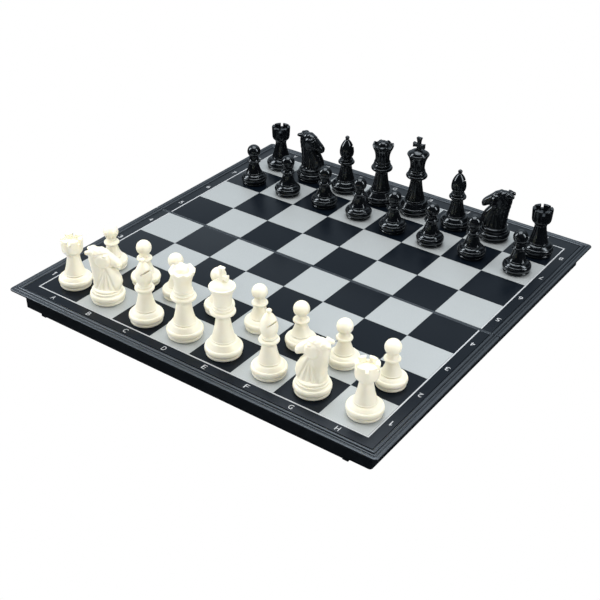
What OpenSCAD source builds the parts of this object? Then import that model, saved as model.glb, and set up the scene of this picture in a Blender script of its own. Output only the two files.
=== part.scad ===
// Folding magnetic chess set, laid open: two hinged half boards and thirty-two chessmen.
// The seam runs along X through the origin, white's half is on the -Y side, and +Z is up from the table.

/* [Board] */
// Side of one square
square_w = 40; // [36:0.5:44]
// Black strip of tray between the seam and the first row of squares
seam_strip = 1.45; // [1.2:0.05:2]
// Height of the playing surface above the table
surface_z = 20.8; // [20:0.1:24]
// Height of the tray rims and of the hinge axis above the table
rim_z = 1.6; // [1.6:0.05:1.8]
// Width of the lettered border of the playing panel, outside the squares
border_w = 11; // [10:0.5:12]
// Width of the whole rim outside the squares, out to the flange's edge
flange_w = 19.6; // [19:0.1:20.5]
// Outer radius of the flange's corners seen from above
corner_r = 5; // [4:0.5:6]

/* [Tray] */
// Thickness of the tray walls
wall_t = 2.2; // [2:0.1:2.6]
// Thickness of the floor web that carries the panel
web_t = 1.4; // [1.2:0.1:1.8]
// Thickness of the flange that overhangs the walls
flange_t = 1.9; // [1.7:0.1:2.2]
// Depth of the ribs under the web
rib_d = 1.6; // [1:0.1:2.5]
// Length of the locating tongue on the near rim
tongue_l = 300; // [280:1:310]

/* [Panels] */
// Thickness of the playing panels
panel_t = 1.4; // [1.2:0.1:1.6]
// Thickness of the steel sheets under the panels
steel_t = 0.4; // [0.3:0.1:0.6]
// Thickness of the silver foil squares and border line
foil_t = 0.05; // [0.04:0.01:0.1]
// Width of the silver border line
line_w = 1.1; // [1:0.1:1.6]
// Distance from the squares to the border line
line_e = 1.3; // [0.8:0.1:2]
// How much shorter the far half's print is at its outer edge
far_short = 4; // [0:0.5:5]

/* [Hinge] */
// Radius of the steel hinge pins
pin_r = 0.75; // [0.7:0.05:0.8]
// Radial running clearance of a pin in the far tray's knuckle
pin_play = 0.05; // [0.03:0.01:0.08]
// Length of one knuckle
knuckle_l = 12; // [10:1:16]
// Distance of each hinge from the board's centre
hinge_x = 120; // [90:5:130]

/* [Chessmen] */
// Greatest base radius of a king
king_r = 14.8; // [14:0.1:15.5]
// Greatest base radius of a queen
queen_r = 14.6; // [14:0.1:15.5]
// Greatest base radius of a bishop
bishop_r = 13.9; // [13:0.1:14.8]
// Greatest base radius of a knight
knight_r = 14.4; // [13.6:0.1:15]
// Greatest base radius of a rook
rook_r = 14; // [13:0.1:14.8]
// Greatest base radius of a pawn
pawn_r = 12.5; // [12:0.1:13.2]
// Radius of the magnet in each base
magnet_r = 7; // [6:0.5:8]

/* [Hidden] */
$fn = 48;
TRAY_BLACK = [0.09, 0.1, 0.11];
PANEL_BLACK = [0.13, 0.15, 0.17];
FOIL_SILVER = [0.79, 0.81, 0.82];
STEEL = [0.6, 0.61, 0.63];
IVORY = [0.95, 0.93, 0.87];
JET = [0.06, 0.06, 0.07];

half_w = 4 * square_w;                      // the field's half width, and its depth on one half board
seam_gap = 0.3;                             // clear gap between the two half boards
axis_z = rim_z;                             // the hinge axis lies where the two rims meet
rim_play = 0.1;                             // each rim stands this far off the hinge plane
floor_z = rim_z + rim_play;                 // lower face of the tray walls
panel_z = surface_z - panel_t;              // underside of a panel
steel_z = panel_z - steel_t;                // underside of a steel sheet, top of the web
web_z = steel_z - web_t;                    // underside of the web
flange_z = surface_z - flange_t;            // underside of the flange
slip = 0.15;                                // assembly clearance round a panel and round a sheet
wall_e = border_w + 0.4;                    // the walls' outer face, measured out from the squares
wall_corner_r = 4;
seam_corner_r = 1.6;                        // small corner radius of the flange at the seam
big = 500;                                  // larger than the whole board
bite = 0.5;                                 // how far an added piece of a tray runs into the tray

// ---------- outlines of one half board, seen from above, on the near side of the seam ----------

// The half board's footprint grown by e beyond the squares, with rounded outer corners
module footprint(e, r, back = seam_gap / 2) {
    x = half_w + e;
    front = -(seam_strip + half_w + e);
    translate([-x, front + r]) square([2 * x, -back - front - r - seam_corner_r]);
    translate([-x + r, front]) square([2 * (x - r), r + 1]);
    translate([-x + seam_corner_r, -back - seam_corner_r - 1])
        square([2 * (x - seam_corner_r), seam_corner_r + 1]);
    for (s = [-1, 1]) {
        translate([s * (x - r), front + r]) circle(r);
        translate([s * (x - seam_corner_r), -back - seam_corner_r]) circle(seam_corner_r);
    }
}

// A plain rectangle grown by e beyond the squares on the three outer sides
module field_rect(e, back = seam_strip) {
    translate([-half_w - e, -(seam_strip + half_w + e)])
        square([2 * (half_w + e), seam_strip + half_w + e - back]);
}

// Runs a section, drawn in (distance out from the squares, height), round the three outer sides with
// mitred corners
module three_sides() {
    corner_y = -(seam_strip + half_w);
    far_out = 2 * flange_w;
    module run(length) rotate([90, 0, 90]) linear_extrude(length, center = true) children();
    // front side, between its two mitre planes
    intersection() {
        translate([0, corner_y, 0]) mirror([0, 1, 0]) run(2 * (half_w + far_out)) children();
        linear_extrude(big, center = true)
            polygon([[0, corner_y + half_w], [half_w + far_out, corner_y - far_out],
                     [-half_w - far_out, corner_y - far_out]]);
    }
    // left and right sides, from the mitre plane to the seam
    for (m = [0, 1]) mirror([m, 0, 0]) intersection() {
        translate([half_w, -half_w / 2, 0]) rotate([0, 0, -90]) run(2 * (half_w + far_out)) children();
        linear_extrude(big, center = true)
            polygon([[half_w - flange_w, corner_y + flange_w], [half_w + far_out, corner_y - far_out],
                     [half_w + far_out, -seam_gap / 2], [half_w - flange_w, -seam_gap / 2]]);
    }
}

// ---------- trays ----------

// Section of the flange and its stepped border moulding
module moulding_section() {
    inner = border_w + slip;
    edge_r = (flange_t - 0.2) / 2;
    // flange body, level with the panel
    translate([inner, flange_z]) square([flange_w - edge_r - inner, flange_t - 0.2]);
    // rounded outer edge
    translate([flange_w - edge_r, flange_z + edge_r]) circle(edge_r);
    // inner bead, middle bead and outer band
    translate([inner + 1.75, surface_z - 0.8]) circle(1.4);
    translate([inner + 4.6, surface_z - 0.4]) circle(0.85);
    translate([inner + 6.3, surface_z - 0.6]) circle(0.75);
    // cove that stiffens the corner between the wall and the flange
    polygon([[wall_e - wall_t, web_z], [wall_e, web_z - 1.2],
             [wall_e + 2.6, flange_z + 0.2], [wall_e - wall_t, flange_z + 0.5]]);
}

// Upright walls, web and ledge of one half
module tray_box() {
    difference() {
        translate([0, 0, floor_z])
            linear_extrude(steel_z + steel_t - floor_z) footprint(wall_e, wall_corner_r);
        // storage hollow under the web
        translate([0, 0, floor_z - 1]) linear_extrude(web_z - floor_z + 1)
            footprint(wall_e - wall_t, wall_corner_r - wall_t / 2, wall_t + seam_gap / 2);
        // recess for the steel sheet
        translate([0, 0, steel_z]) linear_extrude(5) field_rect(slip, seam_strip);
    }
    // strip of tray along the seam, level with the squares
    translate([-half_w - border_w - 1, -seam_strip, web_z])
        cube([2 * (half_w + border_w + 1), seam_strip - seam_gap / 2, surface_z - web_z]);
}

// Stiffening ribs under the web
module ribs() {
    rib_t = 1.2;
    depth = seam_strip + half_w + wall_e;
    for (i = [-3 : 3])
        translate([i * square_w - rib_t / 2, -depth + 1, web_z - rib_d]) cube([rib_t, depth - 2, rib_d + bite]);
    for (j = [1 : 3])
        translate([-half_w - wall_e + 1, -seam_strip - j * square_w - rib_t / 2, web_z - rib_d])
            cube([2 * (half_w + wall_e - 1), rib_t, rib_d + bite]);
}

boss_r = 4;
boss_x = half_w + wall_e - wall_t - 2.4;              // centre of a corner boss
boss_y = -(seam_strip + half_w + wall_e - wall_t - 2.4);
foot_r = 2;
foot_play = 0.3;
socket_d = 2.4;                                        // deeper than a foot is long

// Corner bosses inside the front corners of a half
module corner_bosses() {
    for (s = [-1, 1])
        translate([s * boss_x, boss_y, floor_z]) cylinder(h = web_z - floor_z + bite, r = boss_r);
}

barrel_r = axis_z;                                     // a knuckle's barrel just reaches the table
knuckle_gap = 0.3;

// Barrels of one tray, k steps along the hinge from its middle
module knuckles(steps, bore_r) {
    for (s = [-1, 1], k = steps)
        translate([s * hinge_x + k * (knuckle_l + knuckle_gap), 0, axis_z]) rotate([0, 90, 0])
            difference() {
                cylinder(h = knuckle_l, r = barrel_r, center = true);
                cylinder(h = knuckle_l + 2, r = bore_r, center = true);
            }
}

// Room in one tray for the other tray's barrels
module knuckle_room(steps) {
    room = 0.35;
    for (s = [-1, 1], k = steps)
        translate([s * hinge_x + k * (knuckle_l + knuckle_gap), 0, axis_z]) rotate([0, 90, 0])
            cylinder(h = knuckle_l + 2 * knuckle_gap, r = barrel_r + room, center = true);
}

NEAR_STEPS = [-1, 1];                                  // the near tray has the outer knuckles of each hinge
FAR_STEPS = [0];                                       // the far tray has the middle one
tongue_t = 1.1;
tongue_d = 0.8;
nub_w = 4.8;
latch_play = 0.3;                                      // room round the tongue and nubs when the case is shut
rim_y = -(seam_strip + half_w + wall_e);               // outer face of the front wall

// Everything that both trays share, on the near side of the seam
module half_tray() {
    intersection() {
        union() {
            three_sides() moulding_section();
            tray_box();
            ribs();
            corner_bosses();
        }
        linear_extrude(big, center = true) footprint(flange_w, corner_r);
    }
}

// A straight run on the front wall's outer face, from drop below the rim to rise above it
module rim_run(length, thick, drop, rise) {
    translate([-length / 2, rim_y, floor_z - drop]) cube([length, thick, drop + rise]);
}

// Clears the pin's path through a tray's seam wall before the knuckles are added
module pin_path() {
    for (s = [-1, 1]) translate([s * hinge_x, 0, axis_z]) rotate([0, 90, 0])
        cylinder(h = 3 * knuckle_l + 2, r = barrel_r - 0.3, center = true);
}

module near_tray() {
    color(TRAY_BLACK) difference() {
        union() {
            difference() {
                half_tray();
                knuckle_room(FAR_STEPS);
                pin_path();
            }
            knuckles(NEAR_STEPS, pin_r);
            // locating tongue along the rim, with a nub at each end that stands on the table
            rim_run(tongue_l, tongue_t, tongue_d, bite);
            for (s = [-1, 1]) translate([s * tongue_l / 2, 0, 0]) rim_run(nub_w, wall_t, floor_z, bite);
        }
        // sockets in the corner bosses for the far tray's feet
        for (s = [-1, 1])
            translate([s * boss_x, boss_y, floor_z - 1]) cylinder(h = 1 + socket_d, r = foot_r + foot_play);
    }
}

module far_tray() {
    color(TRAY_BLACK) mirror([0, 1, 0]) {
        difference() {
            half_tray();
            knuckle_room(NEAR_STEPS);
            pin_path();
            // rebate for the near tray's tongue, and notches for its nubs
            translate([0, -0.5, 0]) {
                rim_run(tongue_l + 1, tongue_t + 0.5 + latch_play, 1, tongue_d + latch_play);
                for (s = [-1, 1]) translate([s * tongue_l / 2, 0, 0])
                    rim_run(nub_w + 2 * latch_play, wall_t + 1, 1, floor_z + latch_play);
            }
        }
        knuckles(FAR_STEPS, pin_r + pin_play);
        // feet under the corner bosses
        for (s = [-1, 1]) translate([s * boss_x, boss_y, 0]) cylinder(h = floor_z + bite, r = foot_r);
    }
}

// ---------- panels, sheets and silver print ----------

module panel_half() {
    translate([0, 0, panel_z]) linear_extrude(panel_t) field_rect(border_w, seam_strip + slip);
}

module steel_half() {
    translate([0, 0, steel_z]) linear_extrude(steel_t) field_rect(0, seam_strip + slip);
}

// The sixteen light squares of one half. Files and ranks count from its outer left corner, and the outermost
// squares run on to the border line, which at the front lies short inwards of its usual place.
module light_squares(short = 0) {
    trim = 0.1;
    function grow(outermost) = outermost ? line_e - trim : 0;
    for (file = [0 : 7], rank = [0 : 3])
        if ((file + rank) % 2 == 1) {
            left = file * square_w - grow(file == 0);
            right = (file + 1) * square_w - trim + grow(file == 7);
            front = rank * square_w - grow(rank == 0) + (rank == 0 ? short : 0);
            back = (rank + 1) * square_w - trim - (rank == 3 ? slip : 0);
            translate([left - half_w, front - seam_strip - half_w, surface_z])
                cube([right - left, back - front, foil_t]);
        }
}

// The silver line round three sides of one half
module line_half(short = 0) {
    translate([0, 0, surface_z]) linear_extrude(foil_t) difference() {
        intersection() {
            field_rect(line_e + line_w, seam_strip + slip);
            translate([0, short]) field_rect(line_e + line_w, -big);
        }
        translate([0, short]) field_rect(line_e, -big);
    }
}

module near_panel() color(PANEL_BLACK) panel_half();
module far_panel() color(PANEL_BLACK) mirror([0, 1, 0]) panel_half();
module near_steel_sheet() color(STEEL) steel_half();
module far_steel_sheet() color(STEEL) mirror([0, 1, 0]) steel_half();
module near_silver_squares() color(FOIL_SILVER) light_squares();
module far_silver_squares() color(FOIL_SILVER) rotate([0, 0, 180]) light_squares(far_short);
module near_border_line() color(FOIL_SILVER) line_half();
module far_border_line() color(FOIL_SILVER) mirror([0, 1, 0]) line_half(far_short);

// ---------- hinge pins ----------

module hinge_pin(side) {
    length = 3 * knuckle_l + 2 * knuckle_gap;
    color(STEEL) translate([side * hinge_x, 0, axis_z]) rotate([0, 90, 0])
        cylinder(h = length, r = pin_r, center = true);
}
module left_hinge_pin() hinge_pin(-1);
module right_hinge_pin() hinge_pin(1);

// ---------- chessmen ----------

// Points of a quadratic curve from a by way of b to c, without its first point
function curve(a, b, c, n = 8) =
    [for (i = [1 : n]) let (t = i / n) (1 - t) ^ 2 * a + 2 * t * (1 - t) * b + t ^ 2 * c];
// Points of a rounded ring of radius r round the axis, centred on height z, h high and bulging d proud
function ring(r, z, h, d, n = 8) =
    [for (i = [0 : n]) let (t = 180 * i / n) [r - d + d * sin(t), z - h / 2 * cos(t)]];

body_z = 0.25;                                          // the felt keeps a body this far off the board
felt_t = 1;
magnet_h = 3;
glue_gap = 0.05;                                        // hairline round the magnet and over the felt

// Section of the base that all men share, for a greatest radius r, up to the shoulder ring at height s, whose
// radius is a share of r
function base_section(r, s, share = 0.64) = concat(
    [[0, body_z], [r - 2, body_z]],
    ring(r - 0.9, 1.25, 2, 0.6, 6),
    [[r - 1.7, 2.5]],
    ring(r, 5.3, 5.4, 1.6, 10),
    curve([r - 1.6, 8], [r - 2.2, 9], [share * r + 1.3, s - 1.2], 5),
    [[share * r, s - 0.8]],
    ring(share * r + 0.2, s, 1.2, 0.5, 6));

king_h = 75.5;
function king_section() = concat(
    base_section(king_r, 13.6),
    curve([9.1, 14.2], [7, 20], [5.4, 32], 12),
    curve([5.4, 32], [5.5, 34.4], [8.9, 36.2], 6),
    ring(9.9, 37.8, 3, 1.1, 8),
    [[7.8, 39.6]],
    ring(8.3, 40.8, 1.9, 0.8, 6),
    [[7.2, 42.1]],
    ring(7.6, 43.1, 1.5, 0.6, 6),
    curve([6.9, 44.3], [6.2, 52], [9.8, 58], 10),
    ring(10.2, 59, 2, 0.9, 6),
    [[8.6, 59.8]],
    curve([8.6, 59.8], [7, 62.6], [2.8, 63.8], 6),
    [[0, 63.8]]);

queen_h = 63;
function queen_section() = concat(
    base_section(queen_r, 13),
    curve([8.9, 13.6], [6.9, 19.5], [5.8, 29.8], 12),
    curve([5.8, 29.8], [5.9, 32], [9.2, 33.6], 6),
    ring(10.1, 35.2, 3, 1.1, 8),
    [[8.2, 37.1]],
    ring(8.5, 38.3, 1.9, 0.8, 6),
    [[7.4, 39.7]],
    ring(7.7, 41.1, 2.2, 0.7, 6),
    curve([6.9, 42.5], [6, 49], [9.2, 55], 10),
    [[9.8, 56.6], [9.9, 59], [8.3, 59], [7.2, 56.8]],
    curve([7.2, 56.8], [6.2, 57.2], [5.4, 57.9], 3),
    curve([5.4, 57.9], [5, 61.8], [1.3, 62.2], 6),
    curve([1.3, 62.2], [1.1, queen_h], [0, queen_h], 3));

bishop_h = 57;
function bishop_section() = concat(
    base_section(bishop_r, 12),
    curve([8.5, 12.6], [6.4, 17.5], [5.3, 26], 10),
    curve([5.3, 26], [5.4, 27.6], [6.9, 28.6], 5),
    ring(7.9, 30.1, 2.6, 1, 8),
    [[6.2, 31.6]],
    ring(6.4, 32.8, 1.8, 0.7, 6),
    [[5, 34.2]],
    curve([5, 35.8], [7, 37.2], [6.8, 41.6], 8),
    curve([6.8, 41.6], [6.3, 48.6], [1.5, 53.2], 10),
    ring(2, 55.1, 3.4, 1.6, 8),
    [[0, bishop_h]]);

rook_h = 44;
function rook_section() = concat(
    base_section(rook_r, 11.6),
    curve([8.6, 12.2], [6.5, 18], [5.3, 26.5], 10),
    curve([5.3, 26.5], [5.3, 29.4], [7.4, 31], 6),
    curve([7.4, 31], [8.6, 32], [8.7, 35], 5),
    [[9.2, rook_h - 0.4], [8.8, rook_h], [6.2, rook_h], [6, rook_h - 4.4], [0, rook_h - 4.4]]);

pawn_h = 39.4;
ball_r = 6.4;
function pawn_section() = concat(
    base_section(pawn_r, 11),
    curve([7.6, 11.6], [5.6, 15.5], [4.7, 20.4], 10),
    curve([4.7, 20.4], [4.8, 21.4], [5.6, 22], 4),
    ring(6.5, 23.1, 2.2, 0.9, 6),
    curve([5.2, 24.3], [4.3, 25.2], [4.2, 27], 5),
    [for (i = [0 : 12]) let (a = -54 + 144 * i / 12) [ball_r * cos(a), pawn_h - ball_r + ball_r * sin(a)]]);

knight_h = 47.6;
function knight_section() = concat(base_section(knight_r, 11.4, 0.78), [[10.6, 12.2], [0, 12.6]]);

// Side outline of the knight's neck and head, muzzle towards +X, heights from the board
KNIGHT_OUTLINE = concat(
    [[10.4, 11.6]],
    curve([10.4, 11.6], [14, 17], [12, 23], 5),
    curve([12, 23], [9, 28], [6.2, 31.4], 4),
    [[8.2, 32.2], [10.4, 30.2], [12.6, 30.2]],
    curve([12.6, 30.2], [14.4, 32.6], [13.2, 36.4], 4),
    [[6.6, 43]],
    curve([6.6, 43], [3.4, 46.4], [-1, knight_h], 4),
    curve([-1, knight_h], [-7, knight_h + 0.2], [-12.6, 45.6], 4),
    [[-16.6, 43.4], [-14.4, 40.4]],
    curve([-14.4, 40.4], [-11.6, 30], [-10.6, 20], 4),
    [[-10.4, 11.6]]);

module turned(section) rotate_extrude($fn = 64) polygon(section);

module king_head() {
    // flared cross on the crown
    arm = 5.8;
    cross_z = king_h - 7.9;
    thick = 3.8;
    translate([0, thick / 2, 0]) rotate([90, 0, 0]) linear_extrude(thick) {
        polygon([[-2.4, 63], [2.4, 63], [1.5, cross_z], [2.8, king_h], [-2.8, king_h], [-1.5, cross_z]]);
        polygon([[-arm, cross_z - 2.6], [-1, cross_z - 1.5], [1, cross_z - 1.5], [arm, cross_z - 2.6],
                 [arm, cross_z + 2.6], [1, cross_z + 1.5], [-1, cross_z + 1.5], [-arm, cross_z + 2.6]]);
    }
}

// Body of one man by kind, standing on z = 0
module body(kind) {
    if (kind == "king") { turned(king_section()); king_head(); }
    if (kind == "queen") difference() {
        turned(queen_section());
        // scallops between the points of the coronet
        for (i = [0 : 7])
            rotate([0, 0, 45 * i + 22.5]) translate([6.4, 0, 60.2]) rotate([0, 90, 0]) cylinder(h = 6, r = 2.4);
    }
    if (kind == "bishop") difference() {
        turned(bishop_section());
        // mitre cut
        translate([2, 0, 44.2]) rotate([0, -38, 0]) translate([0, -10, -0.6]) cube([14, 20, 1.2]);
    }
    if (kind == "rook") difference() {
        turned(rook_section());
        for (i = [0 : 2]) rotate([0, 0, 60 * i]) translate([-15, -1.2, rook_h - 3.6]) cube([30, 2.4, 10]);
    }
    if (kind == "pawn") turned(pawn_section());
    if (kind == "knight") {
        turned(knight_section());
        translate([0, 5.6, 0]) rotate([90, 0, 0]) linear_extrude(11.2) polygon(KNIGHT_OUTLINE);
    }
}

function base_r(kind) = kind == "king" ? king_r : kind == "queen" ? queen_r : kind == "bishop" ? bishop_r
    : kind == "knight" ? knight_r : kind == "rook" ? rook_r : pawn_r;

// One man: moulded body, magnet in its pocket, felt pad under both
module man(kind) {
    felt_r = base_r(kind) - 2.6;
    difference() {
        body(kind);
        translate([0, 0, -1]) cylinder(h = 1 + felt_t, r = felt_r + glue_gap);
        translate([0, 0, -1]) cylinder(h = 1 + felt_t + magnet_h + glue_gap, r = magnet_r + glue_gap);
    }
    translate([0, 0, felt_t]) cylinder(h = magnet_h, r = magnet_r);
    cylinder(h = felt_t - glue_gap, r = felt_r);
}

FILES = "abcdefgh";
BACK_ROW = ["rook", "knight", "bishop", "queen", "king", "bishop", "knight", "rook"];
SIDES = ["white", "black"];
// each man as [side, kind, file, rank]
MEN = [for (side = [0, 1], row = [0, 1], file = [0 : 7])
    [side, row == 0 ? BACK_ROW[file] : "pawn", file, side == 0 ? row : 7 - row]];
// men that stand a little off the middle of their squares
NUDGES = [
    ["a1", [-0.7, -0.5]], ["b1", [-3.3, -1.2]], ["c1", [2.8, -5.4]], ["d1", [0.4, -2.5]],
    ["e1", [-0.3, -3.3]], ["f1", [2.9, -3.5]], ["g1", [0.9, -1.9]], ["h1", [5.5, -1]],
    ["a2", [3.4, -0.3]], ["b2", [3.5, -3.2]], ["c2", [-1.6, -3.4]], ["e2", [0.9, 0.1]],
    ["f2", [0.7, 0]], ["h2", [2.4, -1.2]],
    ["a8", [2.1, -0.9]], ["b8", [1.2, -2.6]], ["c8", [2.4, -3.9]], ["d8", [1.7, -3.2]],
    ["e8", [-1.2, -2.3]], ["f8", [2.9, -3.1]], ["g8", [1, -0.8]], ["h8", [4.8, -2.5]],
    ["a7", [1.4, -4]], ["b7", [2.2, -4.1]], ["c7", [3.7, -2]], ["d7", [1.8, -1.2]],
    ["e7", [1, -4.6]], ["f7", [0.2, -4.7]], ["g7", [0.5, -2.1]], ["h7", [4.1, -2]]];
// which way each knight looks, in degrees from +X
LOOKS = [["b1", 28], ["g1", 192], ["b8", 0], ["g8", 197]];

function square_name(m) = str(FILES[m[2]], m[3] + 1);
function man_name(m) = str(SIDES[m[0]], "_", m[1], "_", square_name(m));
function nudge(m) = let (found = search([square_name(m)], NUDGES)[0]) found == [] ? [0, 0] : NUDGES[found][1];
function square_y(rank) = (rank - 3.5) * square_w + (rank < 4 ? -seam_strip : seam_strip);
function stand_z(m) = surface_z + ((m[2] + m[3]) % 2 == 1 ? foil_t : 0);
function turn(m) = m[1] == "knight" ? LOOKS[search([square_name(m)], LOOKS)[0]][1] : 0;

module place_man(m) {
    color(m[0] == 0 ? IVORY : JET)
        translate([(m[2] - 3.5) * square_w, square_y(m[3]), stand_z(m)] + [nudge(m)[0], nudge(m)[1], 0])
            rotate([0, 0, turn(m)]) man(m[1]);
}

near_tray();
near_panel();
near_steel_sheet();
near_silver_squares();
near_border_line();
far_tray();
far_panel();
far_steel_sheet();
far_silver_squares();
far_border_line();
left_hinge_pin();
right_hinge_pin();
for (m = MEN) place_man(m);
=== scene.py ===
"""Looks of a folding magnetic chess set: two hinged half boards and thirty-two chessmen.

Lengths in the classes are millimetres, as a pattern maker writes them. Meshes are in metres, in the frame of
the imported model: X runs along the seam, -Y is white's half and Z is up from the table.
"""

import logging
import math
from dataclasses import dataclass, field
from enum import Enum
from typing import Any, Iterable, Sequence

import bmesh
import bpy
import numpy as np
from mathutils import Matrix, Vector


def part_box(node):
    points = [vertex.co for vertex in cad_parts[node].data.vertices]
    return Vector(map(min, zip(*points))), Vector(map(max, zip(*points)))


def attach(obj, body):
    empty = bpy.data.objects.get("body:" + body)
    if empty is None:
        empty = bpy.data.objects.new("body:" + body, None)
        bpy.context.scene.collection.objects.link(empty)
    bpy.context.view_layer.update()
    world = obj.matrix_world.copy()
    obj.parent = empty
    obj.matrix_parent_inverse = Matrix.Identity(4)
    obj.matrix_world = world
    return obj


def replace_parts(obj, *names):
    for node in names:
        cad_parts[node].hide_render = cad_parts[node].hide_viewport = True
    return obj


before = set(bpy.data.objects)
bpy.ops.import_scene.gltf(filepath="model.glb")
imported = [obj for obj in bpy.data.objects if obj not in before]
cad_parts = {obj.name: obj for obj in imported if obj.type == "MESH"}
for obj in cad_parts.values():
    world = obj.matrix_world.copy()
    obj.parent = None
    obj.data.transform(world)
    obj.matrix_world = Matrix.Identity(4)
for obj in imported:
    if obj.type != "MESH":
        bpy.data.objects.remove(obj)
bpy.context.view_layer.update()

MM = 0.001
# points nearer than this many millimetres become one
WELD = 0.002
log = logging.getLogger("chess_set")


class Half(Enum):
    """The two half boards."""

    NEAR = "near"
    FAR = "far"


class Side(Enum):
    """The two armies."""

    WHITE = "white"
    BLACK = "black"


class Kind(Enum):
    """The six kinds of chessman."""

    KING = "king"
    QUEEN = "queen"
    BISHOP = "bishop"
    KNIGHT = "knight"
    ROOK = "rook"
    PAWN = "pawn"


# ---------------------------------------------------------------------------------------------- node trees


class Term:
    """A socket's value that can stand in a sum, as a number does."""

    def __init__(self, bench: "NodeBench", socket: bpy.types.NodeSocket) -> None:
        """Wraps one output.

        Args:
            bench: The tree that the socket is in.
            socket: The output that holds the value.
        """
        self.bench = bench
        self.socket = socket

    def _math(self, operation: str, *values: Any) -> "Term":
        """Adds a Math node on the given values."""
        return self.bench.value("ShaderNodeMath", {"operation": operation}, dict(enumerate(values)))

    def __add__(self, other: Any) -> "Term":
        """Sum."""
        return self._math("ADD", self, other)

    __radd__ = __add__

    def __sub__(self, other: Any) -> "Term":
        """Difference."""
        return self._math("SUBTRACT", self, other)

    def __rsub__(self, other: Any) -> "Term":
        """Difference from a number."""
        return self._math("SUBTRACT", other, self)

    def __mul__(self, other: Any) -> "Term":
        """Product."""
        return self._math("MULTIPLY", self, other)

    __rmul__ = __mul__

    def __truediv__(self, other: Any) -> "Term":
        """Quotient."""
        return self._math("DIVIDE", self, other)

    def __mod__(self, other: Any) -> "Term":
        """Remainder, never below zero."""
        return self._math("FLOORED_MODULO", self, other)

    def rounded(self) -> "Term":
        """Nearest whole number."""
        return self._math("ROUND", self)

    def cosine(self) -> "Term":
        """Cosine of an angle in radians."""
        return self._math("COSINE", self)

    def sine(self) -> "Term":
        """Sine of an angle in radians."""
        return self._math("SINE", self)

    def equals(self, other: Any) -> "Term":
        """One where the two are the same whole number, else nought."""
        return self._math("COMPARE", self, other, 0.5)

    def ease(self, low: float, high: float) -> "Term":
        """Rises smoothly from nought at low to one at high.

        Args:
            low: Where the rise starts.
            high: Where it ends.

        Returns:
            The eased term.
        """
        limits = {0: self, 1: low, 2: high, 3: 0.0, 4: 1.0}
        return self.bench.value("ShaderNodeMapRange", {"interpolation_type": "SMOOTHSTEP"}, limits)


class NodeBench:
    """Adds nodes to one tree, of shader or geometry nodes."""

    def __init__(self, tree: bpy.types.NodeTree) -> None:
        """Starts on a tree and clears it.

        Args:
            tree: The tree to build in.
        """
        self.tree = tree
        tree.nodes.clear()

    def node(self, kind: str, settings: dict | None = None, inputs: dict | None = None) -> bpy.types.Node:
        """Adds one node.

        Args:
            kind: Blender's name of the node type.
            settings: Properties of the node.
            inputs: Values or terms by the socket's name or number.

        Returns:
            The node.
        """
        made = self.tree.nodes.new(kind)
        for name, value in (settings or {}).items():
            setattr(made, name, value)
        for key, value in (inputs or {}).items():
            if isinstance(value, Term):
                self.tree.links.new(value.socket, made.inputs[key])
            else:
                made.inputs[key].default_value = value
        return made

    def term(self, node: bpy.types.Node, output: int | str = 0) -> Term:
        """A node's output as a term."""
        return Term(self, node.outputs[output])

    def value(
        self, kind: str, settings: dict | None = None, inputs: dict | None = None, output: int | str = 0
    ) -> Term:
        """Adds one node and gives its output as a term."""
        return self.term(self.node(kind, settings, inputs), output)

    def split(self, vector: Term) -> list[Term]:
        """The three parts of a vector."""
        parts = self.node("ShaderNodeSeparateXYZ", None, {0: vector})
        return [self.term(parts, i) for i in range(3)]

    def vector(self, x: Any, y: Any, z: Any = 0.0) -> Term:
        """A vector of three parts."""
        return self.value("ShaderNodeCombineXYZ", None, {0: x, 1: y, 2: z})


class GeometryTree(NodeBench):
    """A tree of geometry nodes with named inputs, run once as a modifier."""

    def __init__(self, name: str, inputs: dict[str, str]) -> None:
        """Makes the tree and its inputs.

        Args:
            name: Name of the tree.
            inputs: Socket type by input name, without the NodeSocket that they all start with.
        """
        super().__init__(bpy.data.node_groups.new(name, "GeometryNodeTree"))
        sides = (("Geometry", "INPUT", "Geometry"), ("Geometry", "OUTPUT", "Geometry"))
        for label, side, kind in (*sides, ("Finish", "INPUT", "Material")):
            self.tree.interface.new_socket(name=label, in_out=side, socket_type="NodeSocket" + kind)
        for label, kind in inputs.items():
            self.tree.interface.new_socket(name=label, in_out="INPUT", socket_type="NodeSocket" + kind)
        self.given = self.node("NodeGroupInput")

    def input(self, name: str) -> Term:
        """The term of a named input."""
        return self.term(self.given, name)

    def close(self, geometry: Term) -> None:
        """Ends the tree in real geometry with its finish on it.

        Args:
            geometry: What the tree has made.
        """
        real = self.value("GeometryNodeRealizeInstances", None, {"Geometry": geometry})
        inputs = {"Geometry": real, "Material": self.input("Finish")}
        dressed = self.value("GeometryNodeSetMaterial", None, inputs)
        self.node("NodeGroupOutput", None, {"Geometry": dressed})

    def run(
        self, seed_mesh: bpy.types.Mesh, name: str, finish: bpy.types.Material, **values: Any
    ) -> bpy.types.Mesh:
        """Runs the tree on a mesh.

        Args:
            seed_mesh: The mesh that goes in.
            name: Name of the mesh that comes out.
            finish: The material that it gets.
            values: The tree's inputs by name, with _ for a space.

        Returns:
            A plain mesh.
        """
        holder = linked(name, seed_mesh)
        modifier = holder.modifiers.new(name, "NODES")
        modifier.node_group = self.tree
        items = self.tree.interface.items_tree
        sockets = {item.name: item.identifier for item in items if item.in_out == "INPUT"}
        modifier[sockets["Finish"]] = finish
        for key, value in values.items():
            modifier[sockets[key.replace("_", " ")]] = value
        made = evaluated_mesh(holder, name)
        bpy.data.objects.remove(holder)
        return made


# ---------------------------------------------------------------------------------------------- mesh helpers


def linked(name: str, data: bpy.types.ID) -> bpy.types.Object:
    """A new object in the scene."""
    made = bpy.data.objects.new(name, data)
    bpy.context.scene.collection.objects.link(made)
    return made


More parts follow.
